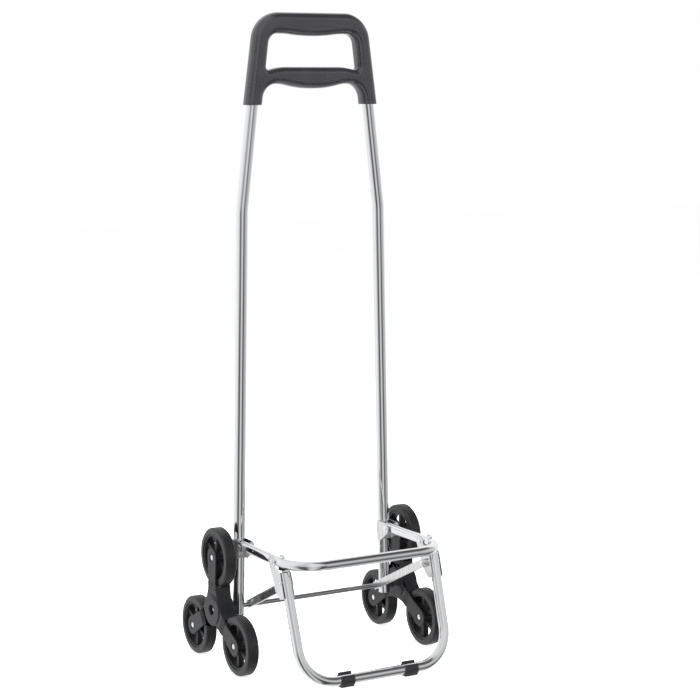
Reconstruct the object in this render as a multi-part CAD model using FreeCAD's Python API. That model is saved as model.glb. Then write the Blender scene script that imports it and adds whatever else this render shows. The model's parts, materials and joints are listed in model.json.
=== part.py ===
import FreeCAD, Part
import math
import os

os.makedirs("parts", exist_ok=True)

# Folding two-wheel-cluster shopping trolley frame. All sizes in millimetres.
# +Z is up, -Y is the front (the shelf side), X runs along the axle.
# The model is drawn about the axle's middle on the floor, then moved so that the
# origin lies on the floor under the middle of the outside box.

# ---- shared by all pieces -------------------------------------------------
same_point = 1e-6              # closer than this, two points are one
flat_within = 1e-3             # an edge this flat lies in its plane
overshoot = 1.0                # how far a cutter runs past the body it cuts
head_crown = 0.72              # crown of a rivet head, as a share of its foot

# ---- wheel clusters -------------------------------------------------------
wheel_radius = 47.5
wheel_width = 19.0
arm_length = 85.6              # axle to wheel pin
cluster_middle = 172.6         # wheel plane, from the trolley's centre plane
plate_gap = 0.5                # wheel face to carrier plate
plate_wall = 3.0
well_clear = 1.6               # wheel tread to carrier core
boss_radius = 15.8
boss_tip = 16.0
boss_rounding = 0.92           # corner rounding as a share of the boss radius
arm_waist = 12.6               # half width of an arm next to the core
arm_waist_at = 45.0
crotch_radius = 72.0           # hollow between two arms
hub_disc_radius = 25.5
hub_disc_height = 1.6
hub_recess_radius = 8.5
hub_recess_depth = 9.5
rib_height = 0.6
rib_width = 1.6
rib_pitch = 5.0
rib_count = 3
rib_start = 34.0
pin_radius = 3.0
pin_head_radius = 4.6
pin_head_height = 1.2
pin_dish_radius = 7.2
pin_dish_depth = 0.7
running = 0.05                 # radial running clearance of pins and shafts

# ---- wheels ---------------------------------------------------------------
tyre_inner_radius = 38.2
tyre_chamfer = 2.2
groove_depth = 0.8
groove_width = 0.9
groove_pitch = 3.6
groove_count = 4
rim_inner_radius = 34.2
rim_inset = 1.2                # rim face inside the tyre face
boss_outer_radius = 10.5
spoke_count = 6
spoke_width = 6.4
spoke_inset = 4.6              # spoke face inside the tyre face

# ---- axle -----------------------------------------------------------------
axle_radius = 4.0
axle_cap_radius = 6.6
axle_cap_height = 2.4
axle_stub = 1.6                # rod end beyond its push cap
bush_radius = 5.2
bush_length = 3.6
sleeve_radius = 6.6
side_play = 0.4                # end play beside the turning carrier

# ---- uprights -------------------------------------------------------------
upright_radius = 9.5
tube_wall = 1.2
upright_spread = 137.8         # at the axle
bend_spread = 124.9
bend_height = 729.5
socket_spread = 105.3          # where the tube enters the grip
socket_height = 894.6
bend_radius = 110.0
upright_foot = 12.5            # tube below the axle
tube_insert = 68.0             # tube inside the grip
foot_plug_gap = 1.2            # plug to the axle above it
foot_plug_lip = 1.6

# ---- hand grip ------------------------------------------------------------
grip_depth = 26.0
grip_top = 1039.2
leg_width = 28.6               # width of the grip's side legs
leg_lean = 0.137               # how far the outer side moves in per unit height
top_corner_radius = 46.0
window_lean = 0.125
upper_window_top = 1006.0
upper_window_sag = 3.6
upper_window_bottom = 954.0
upper_window_drop = 6.0
upper_corner_radius = 17.0
lower_corner_radius = 5.0
upper_sag_from = 48.0          # half length over which the upper grip swells
upper_sag_to = 19.0
upper_sag_start = 120.0        # rounding where the swelling begins
upper_sag_round = 300.0        # rounding of the swelling itself
window_drop_from = 59.0        # half length of the lower grip's flat top
window_drop_round = 100.0
arch_top = 927.4
arch_sag = 7.4
arch_corner_radius = 25.0
arch_sag_from = 56.0
arch_sag_to = 24.0
arch_sag_start = 70.0
arch_sag_round = 180.0
mouth_ease = 30.0              # rounding where the arch meets the sockets
arch_below = 20.0              # arch cutter below the socket mouth
grip_edge = 11.0               # rounding of the outer edge
window_edge = 10.0             # rounding of the window edges
panel_half_top = 38.0
panel_half_bottom = 50.0
panel_bottom = 1017.4
panel_height = 10.0
panel_depth = 0.6
panel_corner = 3.0
screw_radius = 2.0
screw_head_radius = 3.8
screw_head_height = 1.6
screw_height = 22.0            # above the socket mouth
screw_tail = 2.0               # screw inside the tube's wall

# ---- shelf ----------------------------------------------------------------
shelf_height = 192.0
shelf_pivot_forward = 22.5
shelf_length = 171.5           # pivot to the front bar's middle
loop_radius = 8.0              # tube of the shelf and of the leg
shelf_corner = 52.0
shelf_tail = 8.5               # tube behind the pivot
buffer_forward = 124.0         # from the shelf pivot
buffer_radius = 6.0
buffer_height = 2.6
buffer_wrap = 3.2              # buffer up the sides of the tube
buffer_recess = 1.0            # rivet's tail above the buffer's underside
buffer_rivet_radius = 2.0
buffer_head_radius = 4.0
buffer_head_height = 1.8

# ---- hinge brackets on the uprights ---------------------------------------
cheek_wall = 1.2
cheek_gap = 0.45               # cheek to tube
cheek_nose = 10.5              # rounding about the shelf pivot
cheek_top = 9.5                # above the shelf pivot
cheek_top_round = 8.9
cheek_chin = 5.8               # chin below the shelf pivot
cheek_chin_round = 5.2
cheek_back = 4.0               # behind the upright's middle
cheek_back_top = 2.0           # rounding of the back edge's ends
cheek_back_foot = 3.0
rivet_drop = 16.0              # lower rivet below the shelf pivot
cheek_heel = 7.0
cheek_toe = 8.0                # heel in front of the upright's middle
cheek_toe_round = 4.9
web_drop = 4.2                 # stop web below the lower rivet
shelf_pin_radius = 3.0
bracket_rivet_radius = 2.4
bracket_head_radius = 5.0
bracket_head_height = 1.4
inner_head_height = 0.9
washer_radius = 6.0
washer_play = 0.3
stop_web_gap = 0.1             # web to the upright's front

# ---- leg ------------------------------------------------------------------
leg_pivot_forward = 106.5      # from the shelf pivot
leg_pivot_drop = 0.5
leg_top_forward = 154.6        # all from the axle
leg_top_height = 178.0
leg_foot_forward = 209.0
clip_wall = 2.5
leg_foot_spread = 132.0
leg_corner = 57.0
plug_gap = 1.2                 # plug to the rivet below it
plug_lip = 1.2

# ---- leg brackets ---------------------------------------------------------
ear_wall = 1.0
ear_gap = 0.9                  # ear to the side of the tubes
ear_round = 9.5                # half width of the ear at its pivot
ear_top_round = 8.1
ear_back_drop = 1.0            # where the ear's back edge leaves the pivot
ear_back_round = 5.7
ear_nose = 10.5                # ear in front of its pivot
ear_nose_drop = 3.0
ear_front_round = 4.0
ear_front = 3.4                # ear in front of the leg tube's middle
ear_bottom = 40.0              # along the leg tube from its top
ear_toe_round = 2.0
ear_back_foot = 3.0            # rounding at the web's foot
ear_heel = 21.0                # ear behind the leg tube's middle at its heel
ear_heel_at = 26.0
ear_heel_round = 5.0
ear_web_top = 4.0
ear_web_short = 2.0            # web's foot above the ear's bottom
leg_rivet_at = 14.6
leg_pin_radius = 3.0
leg_pin_head = 4.4
leg_rivet_radius = 2.0
leg_rivet_head = 3.3
leg_head_height = 1.2

# ---- struts ---------------------------------------------------------------
strut_up = 69.6                # upper pivot above the axle
strut_forward = 146.0          # upper pivot in front of the axle
strut_half = 6.5
strut_wall = 1.2
strut_flange = 4.5
strut_offset = 2.2             # strut flange to the leg bracket
fork_clear = 0.45
fork_reach = 3.6               # fork tips past the axle's middle
strut_tip_flat = 0.1           # flat left at the strut's rounded end
strut_pin_radius = 2.5
strut_shoulder = 1.5           # pin's shoulder beyond its shank
strut_tail = 0.6               # pin's tail rim beyond its shank
strut_tail_height = 0.54
strut_head_radius = 4.6
strut_head_height = 1.2

# ---- foot clips -----------------------------------------------------------
clip_spread = 58.0
clip_length = 23.0
clip_play = 0.05
clip_lip = 2.0
clip_mouth_half = 35.0         # half angle of the open side, in degrees
clip_mouth_turn = 100.0        # mouth's middle above straight back, in degrees
clip_pad_half = 6.5

# ---- derived sizes --------------------------------------------------------
axle_height = wheel_radius + arm_length / 2.0
back_reach = arm_length * math.cos(math.radians(30.0)) + wheel_radius
foot_bar_height = loop_radius + clip_wall
front_reach = leg_foot_forward + loop_radius + clip_play + clip_wall
axle_shift = (front_reach - back_reach) / 2.0
lower_lean = (upright_spread - bend_spread) / (bend_height - axle_height)
upper_lean = (bend_spread - socket_spread) / (socket_height - bend_height)
half_fork = wheel_width / 2.0 + plate_gap
half_carrier = half_fork + plate_wall
carrier_in = cluster_middle - half_carrier
carrier_out = cluster_middle + half_carrier
shelf_spread = upright_spread - lower_lean * (shelf_height - axle_height)
cheek_half = upright_radius + cheek_gap
ear_half = loop_radius + ear_gap
strut_out = shelf_spread - ear_half - ear_wall - strut_offset
strut_in = strut_out - strut_flange
leg_run = math.hypot(leg_foot_forward - leg_top_forward, leg_top_height - foot_bar_height)
leg_dir = FreeCAD.Vector(0.0, -(leg_foot_forward - leg_top_forward) / leg_run,
                         -(leg_top_height - foot_bar_height) / leg_run)
leg_back = FreeCAD.Vector(0.0, -leg_dir.z, leg_dir.y)
leg_top = FreeCAD.Vector(0.0, -leg_top_forward, leg_top_height)
shelf_pivot = FreeCAD.Vector(0.0, -shelf_pivot_forward, shelf_height)
leg_pivot = shelf_pivot + FreeCAD.Vector(0.0, -leg_pivot_forward, -leg_pivot_drop)
strut_pivot = FreeCAD.Vector(0.0, -strut_forward, axle_height + strut_up)
axle_point = FreeCAD.Vector(0.0, 0.0, axle_height)
SIDES = (("left", -1.0), ("right", 1.0))
ARMS = (("top", 90.0), ("front", 210.0), ("back", 330.0))


# ---- helpers --------------------------------------------------------------
def save(name, shape):
    """Move a finished shape to the trolley's frame and write it."""
    moved = shape.copy()
    moved.translate(FreeCAD.Vector(0.0, axle_shift, 0.0))
    moved.exportStep("parts/" + name + ".step")


def corner(before, at, after, radius):
    """Return the two tangent points and the arc's middle for a rounded corner."""
    to_before = (before - at).normalize()
    to_after = (after - at).normalize()
    half = to_before.getAngle(to_after) / 2.0
    reach = radius / math.tan(half)
    bisector = (to_before + to_after).normalize()
    middle = at + bisector * (radius / math.sin(half) - radius)
    return at + to_before * reach, middle, at + to_after * reach


def path(points, radii, closed=False):
    """Join points with straight edges, rounding each corner that has a radius."""
    count = len(points)
    edges = []
    stops = []
    for index in range(count):
        inner = closed or 0 < index < count - 1
        if inner and radii[index] > 0.0:
            before = points[(index - 1) % count]
            after = points[(index + 1) % count]
            stops.append(corner(before, points[index], after, radii[index]))
        else:
            stops.append((points[index], None, points[index]))
    for index in range(count):
        start, middle, end = stops[index]
        if middle is not None:
            edges.append(Part.Arc(start, middle, end).toShape())
        if closed or index < count - 1:
            following = stops[(index + 1) % count][0]
            if end.distanceToPoint(following) > same_point:
                edges.append(Part.LineSegment(end, following).toShape())
    return Part.Wire(edges)


def side_plate(corners, x_from, x_to):
    """Extrude a rounded outline of (y, z, radius) corners between two X planes."""
    points = [FreeCAD.Vector(x_from, y, z) for y, z, radius in corners]
    radii = [radius for y, z, radius in corners]
    face = Part.Face(path(points, radii, True))
    return face.extrude(FreeCAD.Vector(x_to - x_from, 0.0, 0.0))


def front_plate(corners, y_from, y_to):
    """Extrude a rounded outline of (x, z, radius) corners between two Y planes."""
    points = [FreeCAD.Vector(x, y_from, z) for x, z, radius in corners]
    radii = [radius for x, z, radius in corners]
    face = Part.Face(path(points, radii, True))
    return face.extrude(FreeCAD.Vector(0.0, y_to - y_from, 0.0))


def rod(x_from, x_to, radius, at):
    """Return a cylinder along X between two planes, centred on a point."""
    low = min(x_from, x_to)
    start = FreeCAD.Vector(low, at.y, at.z)
    return Part.makeCylinder(radius, abs(x_to - x_from), start, FreeCAD.Vector(1.0, 0.0, 0.0))


def ring(x_from, x_to, outer, inner, at):
    """Return a washer along X."""
    return rod(x_from, x_to, outer, at).cut(rod(x_from, x_to, inner, at))


def dome(x_face, direction, radius, height, at):
    """Return a low rivet head that stands on an X plane."""
    axis = FreeCAD.Vector(direction, 0.0, 0.0)
    base = FreeCAD.Vector(x_face, at.y, at.z)
    return Part.makeCone(radius, radius * head_crown, height, base, axis)


def sweep(spine, radius):
    """Sweep a disc of the given radius along a spine."""
    first = spine.OrderedEdges[0]
    start = first.valueAt(first.FirstParameter)
    if spine.OrderedVertexes[0].Point.distanceToPoint(start) > same_point:
        start = first.valueAt(first.LastParameter)
    tangent = first.tangentAt(first.FirstParameter)
    circle = Part.Wire([Part.Circle(start, tangent, radius).toShape()])
    return spine.makePipeShell([circle], True, False)


def tube(spine, radius, wall):
    """Return a hollow tube along a spine."""
    return sweep(spine, radius).cut(sweep(spine, radius - wall))


def turned(shape, degrees, at):
    """Turn a copy of a shape about an X axis through a point."""
    copy = shape.copy()
    copy.rotate(at, FreeCAD.Vector(1.0, 0.0, 0.0), degrees)
    return copy


def mirrored(shape, side):
    """Return the shape as drawn for +X, or its mirror image for -X."""
    if side > 0.0:
        return shape.copy()
    return shape.mirror(FreeCAD.Vector(0.0, 0.0, 0.0), FreeCAD.Vector(1.0, 0.0, 0.0))


def upright_at(height):
    """X of the right upright's middle at a height."""
    if height <= bend_height:
        return upright_spread - lower_lean * (height - axle_height)
    return bend_spread - upper_lean * (height - bend_height)


def along_leg(distance, behind):
    """Point in the side plane at a distance down the leg tube and behind its middle."""
    return leg_top + leg_dir * distance + leg_back * behind


def arm_point(degrees):
    """Wheel centre of an arm; 90 degrees is straight up, 210 is the front one."""
    angle = math.radians(degrees)
    return FreeCAD.Vector(0.0, arm_length * math.cos(angle), axle_height + arm_length * math.sin(angle))


# ---- wheels ---------------------------------------------------------------
def wheel_tyre(at):
    """Solid tyre with chamfered edges and grooves round the tread."""
    half = wheel_width / 2.0
    profile = [
        (half, tyre_inner_radius),
        (half, wheel_radius - tyre_chamfer),
        (half - tyre_chamfer, wheel_radius),
        (tyre_chamfer - half, wheel_radius),
        (-half, wheel_radius - tyre_chamfer),
        (-half, tyre_inner_radius),
    ]
    points = [FreeCAD.Vector(x, 0.0, r) for x, r in profile]
    points.append(points[0])
    face = Part.Face(Part.makePolygon(points))
    solid = face.revolve(FreeCAD.Vector(0.0, 0.0, 0.0), FreeCAD.Vector(1.0, 0.0, 0.0), 360.0)
    centre = FreeCAD.Vector(0.0, 0.0, 0.0)
    for index in range(groove_count):
        middle = (index - (groove_count - 1) / 2.0) * groove_pitch
        low = middle - groove_width / 2.0
        high = middle + groove_width / 2.0
        floor_radius = wheel_radius - groove_depth
        solid = solid.cut(ring(low, high, wheel_radius + overshoot, floor_radius, centre))
    solid.translate(FreeCAD.Vector(cluster_middle, at.y, at.z))
    return solid


def wheel_hub(at):
    """Spoked hub: rim, spokes and a bored boss, one moulding."""
    centre = FreeCAD.Vector(0.0, 0.0, 0.0)
    half = wheel_width / 2.0
    rim_half = half - rim_inset
    spoke_half = half - spoke_inset
    rim = ring(-rim_half, rim_half, tyre_inner_radius, rim_inner_radius, centre)
    boss = rod(-half, half, boss_outer_radius, centre)
    solid = rim.fuse(boss)
    for index in range(spoke_count):
        reach = (tyre_inner_radius + rim_inner_radius) / 2.0
        spoke = Part.makeBox(2.0 * spoke_half, spoke_width, reach,
                             FreeCAD.Vector(-spoke_half, -spoke_width / 2.0, 0.0))
        solid = solid.fuse(turned(spoke, index * 360.0 / spoke_count, centre))
    solid = solid.cut(rod(-half, half, pin_radius + running, centre)).removeSplitter()
    solid.translate(FreeCAD.Vector(cluster_middle, at.y, at.z))
    return solid


# ---- three-armed carrier --------------------------------------------------
def star_outline():
    """Corners of the three-armed outline about the axle, as (y, z, radius)."""
    slope = (boss_radius - arm_waist) / (arm_length - arm_waist_at)
    root = boss_radius - slope * arm_length
    crotch = root / (math.sin(math.radians(60.0)) - slope * math.cos(math.radians(60.0)))
    corners = []
    for name, degrees in ARMS:
        angle = math.radians(degrees)
        ahead = (math.cos(angle), math.sin(angle))
        across = (-ahead[1], ahead[0])
        for side in (-1.0, 1.0):
            tip = arm_length + boss_tip
            y = ahead[0] * tip + across[0] * side * boss_radius
            z = ahead[1] * tip + across[1] * side * boss_radius
            corners.append((y, axle_height + z, boss_radius * boss_rounding))
        angle += math.radians(60.0)
        corners.append((math.cos(angle) * crotch, axle_height + math.sin(angle) * crotch, crotch_radius))
    return corners


def carrier():
    """Moulded carrier: a core with three forks that hold the wheels."""
    body = side_plate(star_outline(), carrier_in, carrier_out)
    disc_in = rod(carrier_in - hub_disc_height, carrier_in, hub_disc_radius, axle_point)
    disc_out = rod(carrier_out, carrier_out + hub_disc_height, hub_disc_radius, axle_point)
    body = body.fuse(disc_in).fuse(disc_out)
    for name, degrees in ARMS:
        centre = arm_point(degrees)
        for index in range(rib_count):
            place = rib_start + index * rib_pitch
            rib = Part.makeBox(2.0 * (half_carrier + rib_height), 2.0 * arm_waist, rib_width,
                               FreeCAD.Vector(cluster_middle - half_carrier - rib_height, -arm_waist,
                                              axle_height + place))
            body = body.fuse(turned(rib, degrees - 90.0, axle_point))
        well = wheel_radius + well_clear
        body = body.cut(rod(cluster_middle - half_fork, cluster_middle + half_fork, well, centre))
        body = body.cut(rod(carrier_in, carrier_out, pin_radius, centre))
        low_dish = rod(carrier_in, carrier_in + pin_dish_depth, pin_dish_radius, centre)
        high_dish = rod(carrier_out - pin_dish_depth, carrier_out, pin_dish_radius, centre)
        body = body.cut(low_dish).cut(high_dish)
    body = body.cut(rod(carrier_in - hub_disc_height, carrier_out + hub_disc_height,
                        axle_radius + running, axle_point))
    recess_floor = carrier_out + hub_disc_height - hub_recess_depth
    body = body.cut(rod(recess_floor, carrier_out + hub_disc_height, hub_recess_radius, axle_point))
    return body


def wheel_pins():
    """Headed rivet pins that carry the three wheels, as separate solids."""
    pins = []
    for name, degrees in ARMS:
        centre = arm_point(degrees)
        low = carrier_in + pin_dish_depth
        high = carrier_out - pin_dish_depth
        pin = rod(low, high, pin_radius, centre)
        pin = pin.fuse(dome(low, -1.0, pin_head_radius, pin_head_height, centre))
        pin = pin.fuse(dome(high, 1.0, pin_head_radius, pin_head_height, centre))
        pins.append(pin)
    return Part.makeCompound(pins)


# ---- axle set -------------------------------------------------------------
recess_floor_x = carrier_out + hub_disc_height - hub_recess_depth
cap_from = recess_floor_x + side_play
axle_end = cap_from + axle_cap_height + axle_stub
sleeve_from = upright_spread + upright_radius
bush_to = carrier_in - hub_disc_height - side_play
bush_from = bush_to - bush_length


def axle():
    """Plain rod through both uprights and both carriers."""
    return rod(-axle_end, axle_end, axle_radius, axle_point)


def per_side(maker):
    """Compound of the right-hand solid and its mirror image."""
    solid = maker()
    return Part.makeCompound([mirrored(solid, -1.0), mirrored(solid, 1.0)])


def axle_cap():
    """Push-on retaining cap in the carrier's recess."""
    return ring(cap_from, cap_from + axle_cap_height, axle_cap_radius, axle_radius, axle_point)


def axle_bush():
    """Steel bush between the sleeve and the carrier."""
    return ring(bush_from, bush_to, bush_radius, axle_radius, axle_point)


def axle_sleeve():
    """Plastic distance sleeve beside the upright."""
    blank = ring(sleeve_from - upright_radius / 2.0, bush_from, sleeve_radius, axle_radius, axle_point)
    return blank.cut(sweep(upright_spine(), upright_radius))


# ---- uprights -------------------------------------------------------------
def upright_spine():
    """Middle line of the right upright, from its foot into the grip."""
    foot_z = axle_height - upright_foot
    top_z = socket_height + tube_insert
    points = [
        FreeCAD.Vector(upright_at(foot_z), 0.0, foot_z),
        FreeCAD.Vector(bend_spread, 0.0, bend_height),
        FreeCAD.Vector(upright_at(top_z), 0.0, top_z),
    ]
    return path(points, [0.0, bend_radius, 0.0])


def bracket_rivet_point():
    """Middle of the rivet that holds the hinge bracket on the upright."""
    return FreeCAD.Vector(0.0, 0.0, shelf_height - rivet_drop)


def screw_point():
    """Middle of the screw that holds the grip on the upright."""
    return socket_height + screw_height


def upright():
    """Bent tube with its cross holes for the axle, the bracket rivet and the screw."""
    shape = tube(upright_spine(), upright_radius, tube_wall)
    reach = upright_spread + 2.0 * upright_radius
    shape = shape.cut(rod(0.0, reach, axle_radius, axle_point))
    shape = shape.cut(rod(0.0, reach, bracket_rivet_radius, bracket_rivet_point()))
    height = screw_point()
    hole = Part.makeCylinder(screw_radius, 2.0 * upright_radius,
                             FreeCAD.Vector(upright_at(height), 0.0, height), FreeCAD.Vector(0.0, 1.0, 0.0))
    return shape.cut(hole)


def foot_plug():
    """Plug that closes the upright's lower end."""
    foot_z = axle_height - upright_foot
    slope = FreeCAD.Vector(-lower_lean, 0.0, 1.0).normalize()
    base = FreeCAD.Vector(upright_at(foot_z), 0.0, foot_z)
    depth = upright_foot - axle_radius - foot_plug_gap
    stem = Part.makeCylinder(upright_radius - tube_wall, depth, base, slope)
    lip = Part.makeCylinder(upright_radius, foot_plug_lip, base - slope * foot_plug_lip, slope)
    return stem.fuse(lip)


# ---- hand grip ------------------------------------------------------------
def both_halves(half):
    """Complete a list of right-hand (x, z, radius) corners with its mirror image."""
    other = [(-x, z, radius) for x, z, radius in reversed(half)]
    return half + other


def round_edges(solid, radius, keep):
    """Round the edges of a plate's two faces that a test accepts."""
    edges = [edge for edge in solid.Edges if keep(edge)]
    return solid.makeFillet(radius, edges)


def grip_shell():
    """Outside of the grip, before the windows."""
    outer = socket_spread + leg_width / 2.0
    top_x = outer - leg_lean * (grip_top - socket_height)
    corners = both_halves([(outer, socket_height, 0.0), (top_x, grip_top, top_corner_radius)])
    half = grip_depth / 2.0
    shell = front_plate(corners, -half, half)

    def on_face(edge):
        box = edge.BoundBox
        flat = box.YLength < flat_within
        return flat and box.ZMax > socket_height + flat_within

    return round_edges(shell, grip_edge, on_face)


def upper_window():
    """Corners of the hand window between the two grips."""
    inner = socket_spread - leg_width / 2.0
    top_x = inner - window_lean * (upper_window_top - socket_height)
    low_z = upper_window_bottom - upper_window_drop
    low_x = inner - window_lean * (low_z - socket_height)
    return both_halves([
        (window_drop_from, upper_window_bottom, window_drop_round),
        (low_x, low_z, lower_corner_radius),
        (top_x, upper_window_top, upper_corner_radius),
        (upper_sag_from, upper_window_top, upper_sag_start),
        (upper_sag_to, upper_window_top - upper_window_sag, upper_sag_round),
    ])


def lower_arch():
    """Corners of the open arch under the lower grip."""
    inner = socket_spread - leg_width / 2.0
    top_x = inner - window_lean * (arch_top - socket_height)
    below = socket_height - arch_below
    return both_halves([
        (inner, below, 0.0),
        (inner, socket_height, mouth_ease),
        (top_x, arch_top, arch_corner_radius),
        (arch_sag_from, arch_top, arch_sag_start),
        (arch_sag_to, arch_top - arch_sag, arch_sag_round),
    ])


def handle_grip():
    """One-piece double hand grip with sockets for both uprights."""
    body = grip_shell()
    half = grip_depth / 2.0
    for corners in (upper_window(), lower_arch()):
        body = body.cut(front_plate(corners, -half - overshoot, half + overshoot))
    face_middle = (upper_window_top + grip_top) / 2.0

    def window_mouth(edge):
        box = edge.BoundBox
        flat = box.YLength < flat_within and abs(abs(box.YMin) - half) < flat_within
        inner = max(abs(box.XMin), abs(box.XMax)) < socket_spread
        between = socket_height + flat_within < box.ZMax < face_middle
        return flat and inner and between

    body = round_edges(body, window_edge, window_mouth)
    panel = front_plate([
        (panel_half_bottom, panel_bottom, panel_corner),
        (panel_half_top, panel_bottom + panel_height, panel_corner),
        (-panel_half_top, panel_bottom + panel_height, panel_corner),
        (-panel_half_bottom, panel_bottom, panel_corner),
    ], -half - overshoot, -half + panel_depth)
    body = body.cut(panel)
    for name, side in SIDES:
        body = body.cut(mirrored(sweep(upright_spine(), upright_radius), side))
        height = screw_point()
        hole = Part.makeCylinder(screw_radius, half,
                                 FreeCAD.Vector(side * upright_at(height), 0.0, height),
                                 FreeCAD.Vector(0.0, 1.0, 0.0))
        body = body.cut(hole)
    return body


def grip_screw():
    """Screw from the rear through the socket wall into the tube."""
    height = screw_point()
    half = grip_depth / 2.0
    inside = upright_radius - tube_wall - screw_tail
    start = FreeCAD.Vector(upright_at(height), inside, height)
    axis = FreeCAD.Vector(0.0, 1.0, 0.0)
    shank = Part.makeCylinder(screw_radius, half - inside, start, axis)
    seat = FreeCAD.Vector(upright_at(height), half, height)
    head = Part.makeCone(screw_head_radius, screw_head_radius * head_crown, screw_head_height, seat, axis)
    return shank.fuse(head)


# ---- hinge brackets -------------------------------------------------------
def cheek_outline():
    """Side outline of a hinge bracket's cheek."""
    front = -shelf_pivot_forward - cheek_nose
    rivet_z = shelf_height - rivet_drop
    return [
        (cheek_back, shelf_height + cheek_top, cheek_back_top),
        (front, shelf_height + cheek_top, cheek_top_round),
        (front, shelf_height - cheek_chin, cheek_chin_round),
        (-cheek_toe, rivet_z - cheek_heel, cheek_toe_round),
        (cheek_back, rivet_z - cheek_heel, cheek_back_foot),
    ]


def hinge_bracket():
    """Folded plate: two cheeks beside the upright and a stop web in front of it."""
    inner = shelf_spread - cheek_half
    outer = shelf_spread + cheek_half
    body = side_plate(cheek_outline(), inner - cheek_wall, inner)
    body = body.fuse(side_plate(cheek_outline(), outer, outer + cheek_wall))
    web_back = -upright_radius - stop_web_gap
    web_front = web_back - cheek_wall
    web_top = shelf_height - loop_radius - washer_play
    web_bottom = shelf_height - rivet_drop - web_drop
    web = Part.makeBox(outer - inner + cheek_wall, cheek_wall, web_top - web_bottom,
                       FreeCAD.Vector(inner - cheek_wall / 2.0, web_front, web_bottom))
    body = body.fuse(web)
    body = body.cut(rod(0.0, outer + upright_radius, shelf_pin_radius, shelf_pivot))
    return body.cut(rod(0.0, outer + upright_radius, bracket_rivet_radius, bracket_rivet_point()))


def cross_rivet(radius, head_radius, head_height, inner_height, at):
    """Rivet across a bracket's two cheeks, with a head on each side."""
    inner = shelf_spread - cheek_half - cheek_wall
    outer = shelf_spread + cheek_half + cheek_wall
    body = rod(inner, outer, radius, at)
    body = body.fuse(dome(outer, 1.0, head_radius, head_height, at))
    return body.fuse(dome(inner, -1.0, head_radius, inner_height, at))


def bracket_rivet():
    """Rivet through the bracket and the upright."""
    return cross_rivet(bracket_rivet_radius, bracket_head_radius, bracket_head_height,
                       inner_head_height, bracket_rivet_point())


def shelf_pin():
    """Pivot pin of the shelf in its bracket."""
    return cross_rivet(shelf_pin_radius, bracket_head_radius, bracket_head_height,
                       inner_head_height, shelf_pivot)


def pivot_washers():
    """Washers beside the shelf tube on all four cheeks."""
    washers = []
    for name, side in SIDES:
        for hand in (-1.0, 1.0):
            near = shelf_spread + hand * (loop_radius + washer_play)
            far = shelf_spread + hand * cheek_half
            low = min(near, far)
            washer = ring(low, max(near, far), washer_radius, shelf_pin_radius, shelf_pivot)
            washers.append(mirrored(washer, side))
    return Part.makeCompound(washers)


# ---- shelf ----------------------------------------------------------------
def shelf_loop():
    """U-shaped shelf tube, open to the back, with its cross holes."""
    tail = -shelf_pivot_forward + shelf_tail
    front = -shelf_pivot_forward - shelf_length
    points = [
        FreeCAD.Vector(-shelf_spread, tail, shelf_height),
        FreeCAD.Vector(-shelf_spread, front, shelf_height),
        FreeCAD.Vector(shelf_spread, front, shelf_height),
        FreeCAD.Vector(shelf_spread, tail, shelf_height),
    ]
    body = tube(path(points, [0.0, shelf_corner, shelf_corner, 0.0]), loop_radius, tube_wall)
    reach = shelf_spread + 2.0 * loop_radius
    body = body.cut(rod(-reach, reach, shelf_pin_radius + running, shelf_pivot))
    body = body.cut(rod(-reach, reach, leg_pin_radius + running, leg_pivot))
    for name, side in SIDES:
        hole = Part.makeCylinder(buffer_rivet_radius, 2.0 * loop_radius + overshoot, buffer_seat(side),
                                 FreeCAD.Vector(0.0, 0.0, 1.0))
        body = body.cut(hole)
    return body


def buffer_seat(side):
    """Lowest point of the shelf tube where a buffer is riveted."""
    return FreeCAD.Vector(side * shelf_spread, -shelf_pivot_forward - buffer_forward,
                          shelf_height - loop_radius)


def stop_buffer():
    """Plastic buffer under the shelf tube that the open leg comes up against."""
    seat = buffer_seat(1.0)
    down = FreeCAD.Vector(0.0, 0.0, -1.0)
    top = seat + FreeCAD.Vector(0.0, 0.0, buffer_wrap)
    body = Part.makeCylinder(buffer_radius, buffer_wrap + buffer_height, top, down)
    bar = Part.makeCylinder(loop_radius, 4.0 * buffer_radius,
                            FreeCAD.Vector(seat.x, seat.y - 2.0 * buffer_radius, shelf_height),
                            FreeCAD.Vector(0.0, 1.0, 0.0))
    body = body.cut(bar)
    below = seat - FreeCAD.Vector(0.0, 0.0, loop_radius)
    hole = Part.makeCylinder(buffer_rivet_radius, 2.0 * loop_radius, below, FreeCAD.Vector(0.0, 0.0, 1.0))
    return body.cut(hole)


def buffer_rivet():
    """Rivet down through the shelf tube and its buffer."""
    seat = buffer_seat(1.0)
    up = FreeCAD.Vector(0.0, 0.0, 1.0)
    low = seat - up * (buffer_height - buffer_recess)
    crown = seat + up * (2.0 * loop_radius)
    shank_length = crown.z - low.z
    body = Part.makeCylinder(buffer_rivet_radius, shank_length, low, up)
    head = Part.makeCone(buffer_head_radius, buffer_head_radius * head_crown, buffer_head_height, crown, up)
    return body.fuse(head)


# ---- leg ------------------------------------------------------------------
def leg_line(x, distance):
    """Point on the leg loop's plane."""
    point = leg_top + leg_dir * distance
    return FreeCAD.Vector(x, point.y, point.z)


def leg_loop():
    """U-shaped leg tube, open at the top, with its rivet holes."""
    points = [
        leg_line(-shelf_spread, 0.0),
        leg_line(-leg_foot_spread, leg_run),
        leg_line(leg_foot_spread, leg_run),
        leg_line(shelf_spread, 0.0),
    ]
    body = tube(path(points, [0.0, leg_corner, leg_corner, 0.0]), loop_radius, tube_wall)
    reach = shelf_spread + 2.0 * loop_radius
    return body.cut(rod(-reach, reach, leg_rivet_radius, along_leg(leg_rivet_at, 0.0)))


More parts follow.
